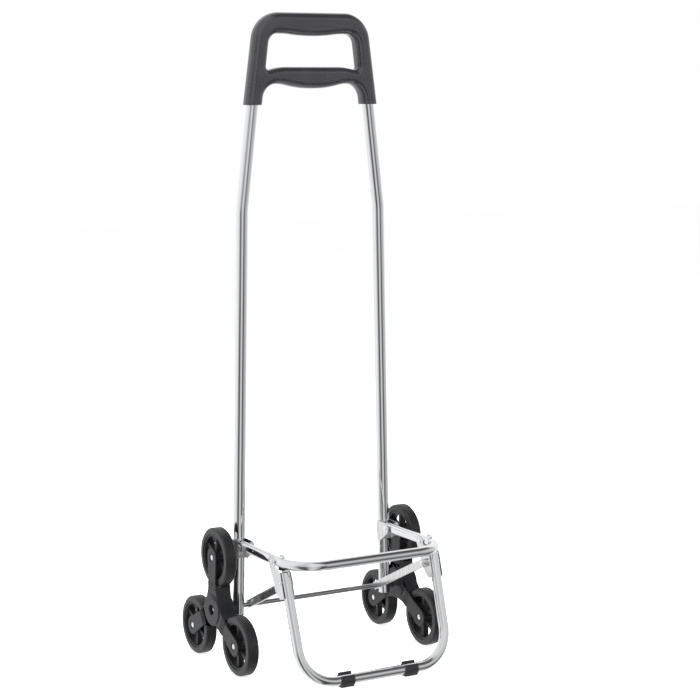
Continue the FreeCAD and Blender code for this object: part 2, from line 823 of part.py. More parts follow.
def leg_plug():
    """Plug that closes the leg tube's upper end."""
    start = leg_line(shelf_spread, 0.0)
    lean = FreeCAD.Vector(leg_foot_spread - shelf_spread, 0.0, 0.0)
    direction = (leg_dir * leg_run + lean).normalize()
    depth = leg_rivet_at - leg_rivet_radius - plug_gap
    stem = Part.makeCylinder(loop_radius - tube_wall, depth, start, direction)
    lip = Part.makeCylinder(loop_radius, plug_lip, start - direction * plug_lip, direction)
    return stem.fuse(lip)


def ear_outline():
    """Side outline of a leg bracket's ear."""
    pivot_y = leg_pivot.y
    pivot_z = leg_pivot.z
    front_low = along_leg(ear_bottom, -ear_front)
    front_high = along_leg(plug_lip, -ear_front)
    heel = along_leg(ear_heel_at, ear_heel)
    back_low = along_leg(ear_bottom, loop_radius + ear_wall)
    return [
        (pivot_y + ear_round, pivot_z - ear_back_drop, ear_back_round),
        (pivot_y + ear_round, pivot_z + ear_round, ear_top_round),
        (pivot_y - ear_round, pivot_z + ear_round, ear_top_round),
        (pivot_y - ear_nose, pivot_z - ear_nose_drop, ear_front_round),
        (front_high.y, front_high.z, ear_front_round),
        (front_low.y, front_low.z, ear_toe_round),
        (back_low.y, back_low.z, ear_back_foot),
        (heel.y, heel.z, ear_heel_round),
    ]


def leg_bracket():
    """Folded plate: two ears beside the tubes and a web behind the leg tube."""
    inner = shelf_spread - ear_half
    outer = shelf_spread + ear_half
    body = side_plate(ear_outline(), inner - ear_wall, inner)
    body = body.fuse(side_plate(ear_outline(), outer, outer + ear_wall))
    near = loop_radius + running
    far = near + ear_wall
    foot = ear_bottom - ear_web_short
    web_ends = [along_leg(ear_web_top, near), along_leg(ear_web_top, far),
                along_leg(foot, far), along_leg(foot, near)]
    web_corners = [(point.y, point.z, 0.0) for point in web_ends]
    body = body.fuse(side_plate(web_corners, inner - ear_wall / 2.0, outer + ear_wall / 2.0))
    reach = outer + loop_radius
    body = body.cut(rod(0.0, reach, leg_pin_radius, leg_pivot))
    body = body.cut(rod(0.0, reach, leg_rivet_radius, along_leg(leg_rivet_at, 0.0)))
    return body.cut(rod(0.0, shelf_spread, strut_pin_radius, strut_pivot))


def ear_rivet(radius, head_radius, at):
    """Rivet across a leg bracket's two ears."""
    inner = shelf_spread - ear_half - ear_wall
    outer = shelf_spread + ear_half + ear_wall
    body = rod(inner, outer, radius, at)
    body = body.fuse(dome(outer, 1.0, head_radius, leg_head_height, at))
    return body.fuse(dome(inner, -1.0, head_radius, leg_head_height, at))


def leg_pin():
    """Pivot pin of the leg bracket in the shelf tube."""
    return ear_rivet(leg_pin_radius, leg_pin_head, leg_pivot)


def leg_rivet():
    """Rivet through the leg bracket and the leg tube."""
    return ear_rivet(leg_rivet_radius, leg_rivet_head, along_leg(leg_rivet_at, 0.0))


# ---- struts ---------------------------------------------------------------
def strut():
    """Channel from the leg bracket down to a fork that snaps over the axle."""
    line = axle_point - strut_pivot
    length = line.Length
    ahead = line.normalize()
    across = FreeCAD.Vector(0.0, -ahead.z, ahead.y)

    def at(distance, offset):
        point = strut_pivot + ahead * distance + across * offset
        return (point.y, point.z)

    end = length + fork_reach
    tip_round = strut_half - strut_tip_flat / 2.0
    outline = [
        at(-strut_half, -strut_half) + (tip_round,),
        at(end, -strut_half) + (0.0,),
        at(end, strut_half) + (0.0,),
        at(-strut_half, strut_half) + (tip_round,),
    ]
    body = side_plate(outline, strut_in, strut_out)
    room = strut_half - strut_wall
    hollow = [at(0.0, -room) + (0.0,), at(end, -room) + (0.0,),
              at(end, room) + (0.0,), at(0.0, room) + (0.0,)]
    body = body.cut(side_plate(hollow, strut_in + strut_wall, strut_out + overshoot))
    relief = [at(-2.0 * strut_half, -2.0 * strut_half) + (0.0,), at(0.0, -2.0 * strut_half) + (0.0,),
              at(0.0, 2.0 * strut_half) + (0.0,), at(-2.0 * strut_half, 2.0 * strut_half) + (0.0,)]
    body = body.cut(side_plate(relief, strut_in + strut_wall, strut_out + overshoot))
    mouth = axle_radius + fork_clear
    slot = [at(length, -mouth) + (0.0,), at(end + overshoot, -mouth) + (0.0,),
            at(end + overshoot, mouth) + (0.0,), at(length, mouth) + (0.0,)]
    web_in = strut_in - overshoot
    web_out = strut_in + strut_wall + overshoot
    body = body.cut(side_plate(slot, web_in, web_out))
    body = body.cut(rod(web_in, web_out, mouth, axle_point))
    return body.cut(rod(web_in, web_out, strut_pin_radius + running, strut_pivot))


def strut_pin():
    """Shouldered pin that carries the strut on the leg bracket's inner ear."""
    ear_in = shelf_spread - ear_half - ear_wall
    ear_out = shelf_spread - ear_half
    web_face = strut_in + strut_wall
    shoulder = rod(web_face + running, ear_in, strut_pin_radius + strut_shoulder, strut_pivot)
    shank = rod(strut_in, ear_out, strut_pin_radius, strut_pivot)
    head = dome(strut_in - running, -1.0, strut_head_radius, strut_head_height, strut_pivot)
    neck = rod(strut_in - running, strut_in, strut_pin_radius, strut_pivot)
    tail = rod(ear_out, ear_out + strut_tail_height, strut_pin_radius + strut_tail, strut_pivot)
    return shank.fuse(shoulder).fuse(neck).fuse(head).fuse(tail)


# ---- foot clips -----------------------------------------------------------
def foot_clip():
    """Springy clip round the foot bar, open on top, with a thumb lip and a flat pad."""
    bar = FreeCAD.Vector(0.0, -leg_foot_forward, foot_bar_height)
    low = clip_spread - clip_length / 2.0
    high = clip_spread + clip_length / 2.0
    bore = loop_radius + clip_play
    outer = bore + clip_wall
    body = rod(low, high, outer, bar)
    pad = Part.makeBox(clip_length, 2.0 * clip_pad_half, foot_bar_height,
                       FreeCAD.Vector(low, bar.y - clip_pad_half, 0.0))
    body = body.fuse(pad)
    lip = Part.makeBox(clip_length, clip_wall + clip_lip, clip_wall,
                       FreeCAD.Vector(low, bar.y + bore, bar.z - clip_wall / 2.0))
    body = body.fuse(turned(lip, clip_mouth_turn - clip_mouth_half, bar))
    body = body.cut(rod(low, high, bore, bar))
    mouth = outer + clip_lip + clip_wall
    spread = math.radians(clip_mouth_half) - clip_wall / (2.0 * bore)
    middle = math.radians(clip_mouth_turn)
    wedge = [(bar.y, bar.z, 0.0)]
    for angle in (middle - spread, middle + spread):
        wedge.append((bar.y + 2.0 * mouth * math.cos(angle), bar.z + 2.0 * mouth * math.sin(angle), 0.0))
    body = body.cut(side_plate(wedge, low, high))
    slab = Part.makeBox(clip_length, 4.0 * mouth, mouth, FreeCAD.Vector(low, bar.y - 2.0 * mouth, -mouth))
    return body.cut(slab)


# ---- write every piece ----------------------------------------------------
save("handle_grip", handle_grip())
save("grip_screws", per_side(grip_screw))
save("axle", axle())
save("axle_caps", per_side(axle_cap))
save("axle_bushes", per_side(axle_bush))
save("axle_sleeves", per_side(axle_sleeve))
save("upright_foot_plugs", per_side(foot_plug))
save("bracket_rivets", per_side(bracket_rivet))
save("shelf_pins", per_side(shelf_pin))
save("pivot_washers", pivot_washers())
save("shelf_loop", shelf_loop())
save("stop_buffers", per_side(stop_buffer))
save("buffer_rivets", per_side(buffer_rivet))
save("leg_loop", leg_loop())
save("leg_plugs", per_side(leg_plug))
save("leg_pins", per_side(leg_pin))
save("leg_rivets", per_side(leg_rivet))
save("strut_pins", per_side(strut_pin))
for side_name, side_sign in SIDES:
    save("upright_" + side_name, mirrored(upright(), side_sign))
    save("hinge_bracket_" + side_name, mirrored(hinge_bracket(), side_sign))
    save("carrier_" + side_name, mirrored(carrier(), side_sign))
    save("wheel_pins_" + side_name, mirrored(wheel_pins(), side_sign))
    save("leg_bracket_" + side_name, mirrored(leg_bracket(), side_sign))
    save("strut_" + side_name, mirrored(strut(), side_sign))
    save("foot_clip_" + side_name, mirrored(foot_clip(), side_sign))
    for arm_name, arm_degrees in ARMS:
        wheel_name = side_name + "_" + arm_name
        save("wheel_hub_" + wheel_name, mirrored(wheel_hub(arm_point(arm_degrees)), side_sign))
        save("wheel_tyre_" + wheel_name, mirrored(wheel_tyre(arm_point(arm_degrees)), side_sign))
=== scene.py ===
import json
import logging
import math
from dataclasses import dataclass, field
from enum import Enum

import bmesh
import bpy
from mathutils import Matrix, Vector


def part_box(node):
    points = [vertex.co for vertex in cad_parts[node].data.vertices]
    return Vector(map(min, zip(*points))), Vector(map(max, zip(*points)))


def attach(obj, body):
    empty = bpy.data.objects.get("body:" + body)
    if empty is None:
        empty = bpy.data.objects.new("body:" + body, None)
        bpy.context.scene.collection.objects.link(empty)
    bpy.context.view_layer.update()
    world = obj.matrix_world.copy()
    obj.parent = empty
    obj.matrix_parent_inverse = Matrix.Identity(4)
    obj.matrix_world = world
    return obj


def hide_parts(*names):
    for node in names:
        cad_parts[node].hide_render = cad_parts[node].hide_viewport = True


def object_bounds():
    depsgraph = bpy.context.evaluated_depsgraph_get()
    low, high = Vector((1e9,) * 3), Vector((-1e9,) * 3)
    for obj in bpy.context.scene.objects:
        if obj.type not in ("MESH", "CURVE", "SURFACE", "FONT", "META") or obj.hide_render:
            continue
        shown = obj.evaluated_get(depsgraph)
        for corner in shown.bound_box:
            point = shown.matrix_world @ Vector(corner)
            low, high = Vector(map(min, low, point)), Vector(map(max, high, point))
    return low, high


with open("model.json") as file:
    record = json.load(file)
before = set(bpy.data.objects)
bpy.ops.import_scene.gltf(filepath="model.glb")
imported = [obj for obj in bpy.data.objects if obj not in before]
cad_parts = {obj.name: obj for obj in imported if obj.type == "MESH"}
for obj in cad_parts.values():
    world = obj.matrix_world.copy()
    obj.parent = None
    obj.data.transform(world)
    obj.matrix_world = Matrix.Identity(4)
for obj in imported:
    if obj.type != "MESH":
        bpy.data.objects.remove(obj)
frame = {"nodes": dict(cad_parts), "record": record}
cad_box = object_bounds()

log = logging.getLogger("trolley")

Colour = tuple[float, float, float, float]
Stops = tuple[tuple[float, float], ...]

WELD = 0.000002
FLAT = math.radians(0.3)
CREASE = math.radians(48.0)
WAVE_LENGTH = 0.314     # one band of a wave texture at a scale of 1


class Side(Enum):
    """The two sides of the trolley, with the sign of X."""

    LEFT = -1.0
    RIGHT = 1.0

    @property
    def word(self) -> str:
        """The side's name as it stands in the node names."""
        return self.name.lower()


class Arm(Enum):
    """The three arms of a wheel carrier, with their angle in degrees from the back."""

    TOP = 90.0
    FRONT = 210.0
    BACK = 330.0

    @property
    def word(self) -> str:
        """The arm's name as it stands in the node names."""
        return self.name.lower()


class Along(Enum):
    """Which way the rolling or drawing lines of a metal run."""

    TUBE = "tube"
    X = "x"
    Z = "z"


# ---- node trees ------------------------------------------------------------------
class Graph:
    """A small wiring bench for one node tree."""

    def __init__(self, tree: bpy.types.NodeTree) -> None:
        """Start on an emptied tree.

        Args:
            tree: The node tree to wire.
        """
        self.tree = tree
        tree.nodes.clear()

    def add(self, kind: str, inputs: dict | None = None, **settings: object) -> bpy.types.Node:
        """Add a node, set its properties and feed its sockets.

        Args:
            kind: The node type's identifier without its ShaderNode prefix.
            inputs: Socket name or number to a value or to another node's output.
            **settings: Properties of the node.

        Returns:
            The new node.
        """
        prefix = "" if kind.startswith("NodeGroup") else "ShaderNode"
        node = self.tree.nodes.new(prefix + kind)
        for name, value in settings.items():
            setattr(node, name, value)
        for key, value in (inputs or {}).items():
            self.feed(node.inputs[key], value)
        return node

    def feed(self, socket: bpy.types.NodeSocket, value: object) -> None:
        """Link an output into a socket, or set the socket's own value.

        Args:
            socket: The input to feed.
            value: An output socket or a plain value.
        """
        if isinstance(value, bpy.types.NodeSocket):
            self.tree.links.new(value, socket)
        else:
            socket.default_value = value

    def blend(self, factor: object, low: object, high: object) -> bpy.types.NodeSocket:
        """Mix two colours.

        Args:
            factor: Share of the second colour, a value or a socket.
            low: The first colour.
            high: The second colour.

        Returns:
            The mixed colour's socket.
        """
        node = self.add("Mix", data_type="RGBA")
        self.feed(node.inputs["Factor"], factor)
        self.feed(node.inputs[6], low)
        self.feed(node.inputs[7], high)
        return node.outputs[2]

    def spread(self, value: bpy.types.NodeSocket, low: float, high: float,
               start: float = 0.0, end: float = 1.0) -> bpy.types.NodeSocket:
        """Map a value from one span to another, without going past its ends.

        Args:
            value: The value to map.
            low: The result at the span's start.
            high: The result at the span's end.
            start: The span's start.
            end: The span's end.

        Returns:
            The result's socket.
        """
        node = self.add("MapRange", {"Value": value, "From Min": start, "From Max": end,
                                     "To Min": low, "To Max": high})
        return node.outputs["Result"]


class Effect:
    """Base of the shared surface effects, each one a node group made once."""

    title = "effect"
    sockets: tuple[tuple[str, str, float], ...] = ()
    outputs: tuple[str, ...] = ("Mask",)

    @classmethod
    def group(cls) -> bpy.types.NodeTree:
        """Make the node group, or return the one made before.

        Returns:
            The group's node tree.
        """
        known = bpy.data.node_groups.get(cls.title)
        if known:
            return known
        tree = bpy.data.node_groups.new(cls.title, "ShaderNodeTree")
        tree.interface.new_socket("Place", in_out="INPUT", socket_type="NodeSocketVector")
        for name, kind, value in cls.sockets:
            socket = tree.interface.new_socket(name, in_out="INPUT", socket_type=kind)
            socket.default_value = value
        for name in cls.outputs:
            tree.interface.new_socket(name, in_out="OUTPUT", socket_type="NodeSocketFloat")
        graph = Graph(tree)
        entry = graph.add("NodeGroupInput")
        leave = graph.add("NodeGroupOutput")
        cls.wire(graph, entry, leave)
        return tree

    @classmethod
    def wire(cls, graph: Graph, entry: bpy.types.Node, leave: bpy.types.Node) -> None:
        """Wire the inside of the group; each effect has its own.

        Args:
            graph: The group's bench.
            entry: The node with the group's inputs.
            leave: The node with the group's outputs.
        """
        raise NotImplementedError

    @classmethod
    def put(cls, graph: Graph, place: bpy.types.NodeSocket, **values: float) -> bpy.types.Node:
        """Place the effect in a material.

        Args:
            graph: The material's bench.
            place: The coordinates that the pattern reads.
            **values: Values of the group's own inputs, with _ for a space.

        Returns:
            The group node.
        """
        node = graph.add("Group", node_tree=cls.group())
        graph.feed(node.inputs["Place"], place)
        for name, value in values.items():
            node.inputs[name.replace("_", " ")].default_value = value
        return node


class DrawLines(Effect):
    """Fine parallel lines that drawing, rolling or polishing leaves in a metal."""

    title = "draw_lines"
    sockets = (("Fineness", "NodeSocketFloat", 1.0), ("Breaks", "NodeSocketFloat", 0.5))
    outputs = ("Fine", "Broad")

    @classmethod
    def wire(cls, graph: Graph, entry: bpy.types.Node, leave: bpy.types.Node) -> None:
        """Two stretched noises, one of hair lines and one of broad bands.

        Args:
            graph: The group's bench.
            entry: The node with the group's inputs.
            leave: The node with the group's outputs.
        """
        scaled = graph.add("VectorMath", {0: entry.outputs["Place"]}, operation="SCALE")
        graph.feed(scaled.inputs["Scale"], entry.outputs["Fineness"])
        fine = graph.add("TexNoise", {"Vector": scaled.outputs[0], "Scale": 1.0, "Detail": 5.0,
                                      "Roughness": 0.62})
        broad = graph.add("TexNoise", {"Vector": entry.outputs["Place"], "Scale": 0.16, "Detail": 2.0,
                                       "Roughness": 0.5})
        patch = graph.add("TexNoise", {"Vector": entry.outputs["Place"], "Scale": 0.045, "Detail": 1.0})
        gate = graph.spread(patch.outputs["Fac"], 0.0, 1.0, 0.35, 0.65)
        share = graph.add("Math", {0: gate, 1: entry.outputs["Breaks"]}, operation="MULTIPLY")
        kept = graph.add("Math", {0: 1.0, 1: share.outputs[0]}, operation="SUBTRACT")
        lines = graph.spread(fine.outputs["Fac"], 0.0, 1.0, 0.28, 0.72)
        made = graph.add("Math", {0: lines, 1: kept.outputs[0]}, operation="MULTIPLY")
        graph.feed(leave.inputs["Fine"], made.outputs[0])
        graph.feed(leave.inputs["Broad"], graph.spread(broad.outputs["Fac"], 0.0, 1.0, 0.3, 0.7))


class EdgeWear(Effect):
    """Scuffed edges and a painted highlight: bright where a rounded edge turns, broken up by a noise."""

    title = "edge_wear"
    sockets = (("Radius", "NodeSocketFloat", 0.0006), ("Amount", "NodeSocketFloat", 1.0))

    @classmethod
    def wire(cls, graph: Graph, entry: bpy.types.Node, leave: bpy.types.Node) -> None:
        """Compare the rounded normal with the true one.

        Args:
            graph: The group's bench.
            entry: The node with the group's inputs.
            leave: The node with the group's outputs.
        """
        rounded = graph.add("Bevel", {"Radius": entry.outputs["Radius"]}, samples=4)
        true = graph.add("NewGeometry")
        match = graph.add("VectorMath", {0: rounded.outputs[0], 1: true.outputs["Normal"]},
                          operation="DOT_PRODUCT")
        turn = graph.spread(match.outputs["Value"], 1.0, 0.0, 0.72, 0.985)
        scuff_noise = graph.add("TexNoise", {"Vector": entry.outputs["Place"], "Scale": 160.0, "Detail": 4.0,
                                     "Roughness": 0.65})
        broken = graph.spread(scuff_noise.outputs["Fac"], 0.15, 1.0, 0.38, 0.62)
        # Painted highlight as well as scuffing: this mask makes turned edges lighter.
        worn = graph.add("Math", {0: turn, 1: broken}, operation="MULTIPLY")
        final = graph.add("Math", {0: worn.outputs[0], 1: entry.outputs["Amount"]}, operation="MULTIPLY",
                          use_clamp=True)
        graph.feed(leave.inputs["Mask"], final.outputs[0])


class MouldGrain(Effect):
    """Spark-eroded grain of a moulded plastic, with slow cloudy flow marks."""

    title = "mould_grain"
    sockets = (("Fineness", "NodeSocketFloat", 900.0),)
    outputs = ("Grain", "Cloud")

    @classmethod
    def wire(cls, graph: Graph, entry: bpy.types.Node, leave: bpy.types.Node) -> None:
        """A cell pattern softened by a noise, and a slow noise of its own.

        Args:
            graph: The group's bench.
            entry: The node with the group's inputs.
            leave: The node with the group's outputs.
        """
        cells = graph.add("TexVoronoi", {"Vector": entry.outputs["Place"],
                                         "Scale": entry.outputs["Fineness"]}, feature="SMOOTH_F1")
        cells.inputs["Smoothness"].default_value = 0.6
        fine = graph.add("TexNoise", {"Vector": entry.outputs["Place"], "Scale": entry.outputs["Fineness"],
                                      "Detail": 3.0})
        both = graph.add("Math", {0: cells.outputs["Distance"], 1: fine.outputs["Fac"]}, operation="ADD")
        graph.feed(leave.inputs["Grain"], graph.spread(both.outputs[0], 0.0, 1.0, 0.3, 1.3))
        slow = graph.add("TexNoise", {"Vector": entry.outputs["Place"], "Scale": 34.0, "Detail": 4.0,
                                      "Roughness": 0.6})
        graph.feed(leave.inputs["Cloud"], graph.spread(slow.outputs["Fac"], 0.0, 1.0, 0.32, 0.68))


class Handling(Effect):
    """Light traces of use: smears, dust specks and short scratches."""

    title = "handling"
    outputs = ("Smear", "Speck", "Scratch")

    @classmethod
    def wire(cls, graph: Graph, entry: bpy.types.Node, leave: bpy.types.Node) -> None:
        """Three noises of their own scales.

        Args:
            graph: The group's bench.
            entry: The node with the group's inputs.
            leave: The node with the group's outputs.
        """
        smear = graph.add("TexNoise", {"Vector": entry.outputs["Place"], "Scale": 22.0, "Detail": 5.0,
                                       "Roughness": 0.55, "Distortion": 1.1})
        graph.feed(leave.inputs["Smear"], graph.spread(smear.outputs["Fac"], 0.0, 1.0, 0.35, 0.7))
        speck = graph.add("TexVoronoi", {"Vector": entry.outputs["Place"], "Scale": 420.0})
        graph.feed(leave.inputs["Speck"], graph.spread(speck.outputs["Distance"], 1.0, 0.0, 0.06, 0.16))
        stretched = graph.add("Mapping", {"Vector": entry.outputs["Place"], "Rotation": (0.5, 0.3, 0.7),
                                          "Scale": (14.0, 260.0, 90.0)})
        scratch = graph.add("TexNoise", {"Vector": stretched.outputs[0], "Scale": 1.0, "Detail": 2.0})
        graph.feed(leave.inputs["Scratch"], graph.spread(scratch.outputs["Fac"], 0.0, 1.0, 0.64, 0.72))


# ---- finishes --------------------------------------------------------------------
@dataclass(frozen=True)
class Finish:
    """One finish: a material made once and put on many pieces."""

    title: str

    def material(self) -> bpy.types.Material:
        """Make the material, or return the one made before.

        Returns:
            The finished material.
        """
        name = self.title + "_finish"
        known = bpy.data.materials.get(name)
        if known:
            return known
        made = bpy.data.materials.new(name)
        made.use_nodes = True
        graph = Graph(made.node_tree)
        shader = graph.add("BsdfPrincipled")
        out = graph.add("OutputMaterial", {"Surface": shader.outputs[0]})
        out.is_active_output = True
        self.wire(graph, shader)
        return made

    def wire(self, graph: Graph, shader: bpy.types.Node) -> None:
        """Wire the finish's own nodes into the shader; each kind of finish has its own.

        Args:
            graph: The material's bench.
            shader: The material's shader.
        """
        raise NotImplementedError

    def bump(self, graph: Graph, shader: bpy.types.Node, height: bpy.types.NodeSocket,
             depth: float, strength: float = 1.0) -> None:
        """Feed a height into the shader's normal.

        Args:
            graph: The material's bench.
            shader: The shader.
            height: The height's socket.
            depth: The relief's depth in metres.
            strength: Share of the relief that shows.
        """
        node = graph.add("Bump", {"Height": height, "Distance": depth, "Strength": strength})
        graph.feed(shader.inputs["Normal"], node.outputs["Normal"])


@dataclass(frozen=True)
class BrightMetal(Finish):
    """Drawn, rolled or plated metal with its lines, smears and scuffed edges painted lighter, partly as a
    painted highlight.
    """

    dark: Colour = (0.80, 0.81, 0.83, 1.0)
    light: Colour = (0.94, 0.94, 0.95, 1.0)
    smooth: float = 0.035
    rough: float = 0.085
    haze: float = 0.02
    along: Along = Along.TUBE
    line_pitch: float = 0.0008
    line_length: float = 0.12
    line_depth: float = 0.0000006
    # Share of the lighter edges: scuffing and painted highlight.
    wear: float = 0.0

    def place(self, graph: Graph) -> bpy.types.NodeSocket:
        """Coordinates stretched so that lines run the right way.

        Args:
            graph: The material's bench.

        Returns:
            The stretched coordinates.
        """
        across = 1.0 / self.line_pitch
        length = 1.0 / self.line_length
        scales = {
            Along.TUBE: (across, across, length),
            Along.X: (length, across, across),
            Along.Z: (across, across, length),
        }
        if self.along is Along.TUBE:
            source = graph.add("Attribute", attribute_name="lay").outputs["Vector"]
        else:
            source = graph.add("TexCoord").outputs["Object"]
        return graph.add("Mapping", {"Vector": source, "Scale": scales[self.along]}).outputs[0]

    def wire(self, graph: Graph, shader: bpy.types.Node) -> None:
        """Lines and smears drive the colour, the roughness and the relief.

        Args:
            graph: The material's bench.
            shader: The material's shader.
        """
        stretched = self.place(graph)
        plain = graph.add("TexCoord").outputs["Object"]
        lines = DrawLines.put(graph, stretched, Fineness=1.0, Breaks=0.45)
        use = Handling.put(graph, plain)
        colour = graph.blend(lines.outputs["Broad"], self.dark, self.light)
        smeared = graph.blend(graph.spread(use.outputs["Smear"], 0.0, 0.15), colour, self.dark)
        # Painted highlight as well as scuffing: turned edges are blended towards the light colour.
        if self.wear > 0.0:
            lit_scuffs = EdgeWear.put(graph, plain, Radius=0.0007, Amount=self.wear)
            smeared = graph.blend(lit_scuffs.outputs["Mask"], smeared, self.light)
        graph.feed(shader.inputs["Base Color"], smeared)
        base = graph.spread(lines.outputs["Fine"], self.smooth, self.rough)
        haze = graph.spread(use.outputs["Smear"], 0.0, self.haze)
        total = graph.add("Math", {0: base, 1: haze}, operation="ADD")
        graph.feed(shader.inputs["Roughness"], total.outputs[0])
        shader.inputs["Metallic"].default_value = 1.0
        both = graph.add("Math", {0: lines.outputs["Fine"], 1: use.outputs["Scratch"]}, operation="SUBTRACT")
        self.bump(graph, shader, both.outputs[0], self.line_depth, 0.6)


@dataclass(frozen=True)
class Moulded(Finish):
    """Moulded plastic with a fine grain, flow marks, specks of dust and scuffed edges painted lighter, partly
    as a painted highlight.
    """

    dark: Colour = (0.014, 0.014, 0.016, 1.0)
    light: Colour = (0.024, 0.024, 0.027, 1.0)
    # Pale colour of dust specks, and of turned edges as scuffing and painted highlight.
    worn: Colour = (0.09, 0.09, 0.10, 1.0)
    smooth: float = 0.34
    rough: float = 0.50
    grain: float = 900.0
    grain_depth: float = 0.00003
    # Share and width of the lighter edges: scuffing and painted highlight.
    wear: float = 0.7
    wear_radius: float = 0.0008
    specular: float = 0.5
    coat: float = 0.0
    coat_rough: float = 0.14

    def relief(self, graph: Graph, place: bpy.types.NodeSocket,
               grain: bpy.types.NodeSocket) -> bpy.types.NodeSocket:
        """Height of the surface; plain plastic has only its grain."""
        return grain

    def wire(self, graph: Graph, shader: bpy.types.Node) -> None:
        """Cloud, specks and the scuffed, painted-highlight edges drive the colour; the grain drives the
        relief.

        Args:
            graph: The material's bench.
            shader: The material's shader.
        """
        place = graph.add("TexCoord").outputs["Object"]
        mould = MouldGrain.put(graph, place, Fineness=self.grain)
        use = Handling.put(graph, place)
        edge = EdgeWear.put(graph, place, Radius=self.wear_radius, Amount=self.wear)
        body = graph.blend(mould.outputs["Cloud"], self.dark, self.light)
        dusty = graph.blend(graph.spread(use.outputs["Speck"], 0.0, 0.35), body, self.worn)
        # Painted highlight as well as scuffing: turned edges take the pale colour.
        lit_scuffs = graph.blend(edge.outputs["Mask"], dusty, self.worn)
        graph.feed(shader.inputs["Base Color"], lit_scuffs)
        gloss = graph.spread(mould.outputs["Grain"], self.smooth, self.rough)
        haze = graph.spread(use.outputs["Smear"], -0.03, 0.06)
        total = graph.add("Math", {0: gloss, 1: haze}, operation="ADD")
        graph.feed(shader.inputs["Roughness"], total.outputs[0])
        shader.inputs["Specular IOR Level"].default_value = self.specular
        shader.inputs["Coat Weight"].default_value = self.coat
        shader.inputs["Coat Roughness"].default_value = self.coat_rough
        height = self.relief(graph, place, mould.outputs["Grain"])
        self.bump(graph, shader, height, self.grain_depth, 0.7)


@dataclass(frozen=True)
class TyreRubber(Moulded):
    """Soft tyre rubber: fine rings turned into the tread and a duller surface."""

    ring_pitch: float = 0.0024

    def relief(self, graph: Graph, place: bpy.types.NodeSocket,
               grain: bpy.types.NodeSocket) -> bpy.types.NodeSocket:
        """Turn rings across the tread, with the grain on top.

        Args:
            graph: The material's bench.
            place: The coordinates that the rings read.
            grain: The grain's height.

        Returns:
            The height's socket.
        """
        rings = graph.add("TexWave", {"Vector": place, "Scale": WAVE_LENGTH / self.ring_pitch,
                                      "Distortion": 0.6, "Detail": 1.0, "Detail Scale": 2.0},
                          wave_type="BANDS", bands_direction="X")
        return graph.add("Math", {0: rings.outputs["Fac"], 1: grain}, operation="ADD").outputs[0]


class Finishes(Enum):
    """Every finish on the trolley."""

    # The edge amounts set how strongly turned edges are painted lighter, as scuffing and painted highlight
    # together.
    TUBE = BrightMetal("tube_aluminium", along=Along.TUBE)
    SHEET = BrightMetal("bracket_steel", dark=(0.68, 0.68, 0.69, 1.0), light=(0.86, 0.86, 0.86, 1.0),
                        smooth=0.16, rough=0.24, haze=0.03, along=Along.Z, line_pitch=0.0006,
                        line_length=0.01, line_depth=0.0000003, wear=0.3)
    RIVET = BrightMetal("rivet_steel", dark=(0.90, 0.90, 0.91, 1.0), light=(0.98, 0.98, 0.98, 1.0),
                        smooth=0.14, rough=0.22, haze=0.03, along=Along.X, line_pitch=0.0005,
                        line_length=0.004, line_depth=0.0000003, wear=0.2)
    ROD = BrightMetal("axle_steel", dark=(0.36, 0.36, 0.37, 1.0), light=(0.56, 0.56, 0.57, 1.0),
                      smooth=0.10, rough=0.20, along=Along.X, line_pitch=0.0006, line_length=0.05)
    GRIP = Moulded("grip_plastic", dark=(0.017, 0.017, 0.0195, 1.0), light=(0.024, 0.024, 0.0275, 1.0),
                   smooth=0.10, rough=0.13, grain=700.0, grain_depth=0.0000003, wear=0.12, wear_radius=0.0012,
                   specular=0.9, coat=0.5, coat_rough=0.09)
    CARRIER = Moulded("carrier_plastic", dark=(0.012, 0.012, 0.013, 1.0), light=(0.020, 0.020, 0.022, 1.0),
                      smooth=0.24, rough=0.34, grain_depth=0.000002, wear=0.9, wear_radius=0.0009,
                      specular=0.35)
    HUB = Moulded("hub_plastic", dark=(0.008, 0.008, 0.009, 1.0), light=(0.013, 0.013, 0.015, 1.0),
                  smooth=0.34, rough=0.5, grain_depth=0.00001)
    CLIP = Moulded("clip_plastic", dark=(0.012, 0.012, 0.014, 1.0), light=(0.020, 0.020, 0.023, 1.0),
                   smooth=0.34, rough=0.48, grain_depth=0.00001)
    TYRE = TyreRubber("tyre_rubber", dark=(0.006, 0.006, 0.007, 1.0), light=(0.011, 0.011, 0.012, 1.0),
                      smooth=0.26, rough=0.38, grain=700.0, grain_depth=0.000002, wear=1.0,
                      wear_radius=0.0006, specular=0.6)


# ---- pieces ----------------------------------------------------------------------
def finished(name: str, bm: bmesh.types.BMesh, finish: Finishes, smooth: bool = True) -> bpy.types.Object:
    """Turn a bmesh into an object at the origin with its finish.

    Args:
        name: The piece's name.
        bm: The mesh, in the trolley's frame; it is freed.
        finish: The piece's finish.
        smooth: Whether its faces are shaded smooth.

    Returns:
        The new object.
    """
    mesh = bpy.data.meshes.new(name)
    for face in bm.faces:
        face.smooth = smooth
    bm.to_mesh(mesh)
    bm.free()
    made = bpy.data.objects.new(name, mesh)
    bpy.context.scene.collection.objects.link(made)
    mesh.materials.append(finish.value.material())
    return made


def settle(piece: bpy.types.Object, body: str, finish: Finishes, *nodes: str) -> bpy.types.Object:
    """Let a new piece ride on its body in place of its nodes, and report it.

    Args:
        piece: The finished piece.
        body: The body it moves with.
        finish: The piece's finish; not used.
        *nodes: The nodes that it stands for.

    Returns:
        The same piece.
    """
    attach(piece, body)
    if nodes:
        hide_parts(*nodes)
    log.info("%s rides on %s", piece.name, body)
    return piece


def dress(node: str, finish: Finishes) -> None:
    """Give a carried-over node its finish.

    Args:
        node: The node's name.
        finish: Its finish.
    """
    mesh = frame["nodes"][node].data
    mesh.materials.clear()
    mesh.materials.append(finish.value.material())
    log.info("%s dressed in %s", node, finish.value.title)


def body_of(node: str) -> str:
    """Name the body that carries a node."""
    bodies = frame["record"]["behaviour"]["bodies"]
    return next(body for body, nodes in bodies.items() if node in nodes)


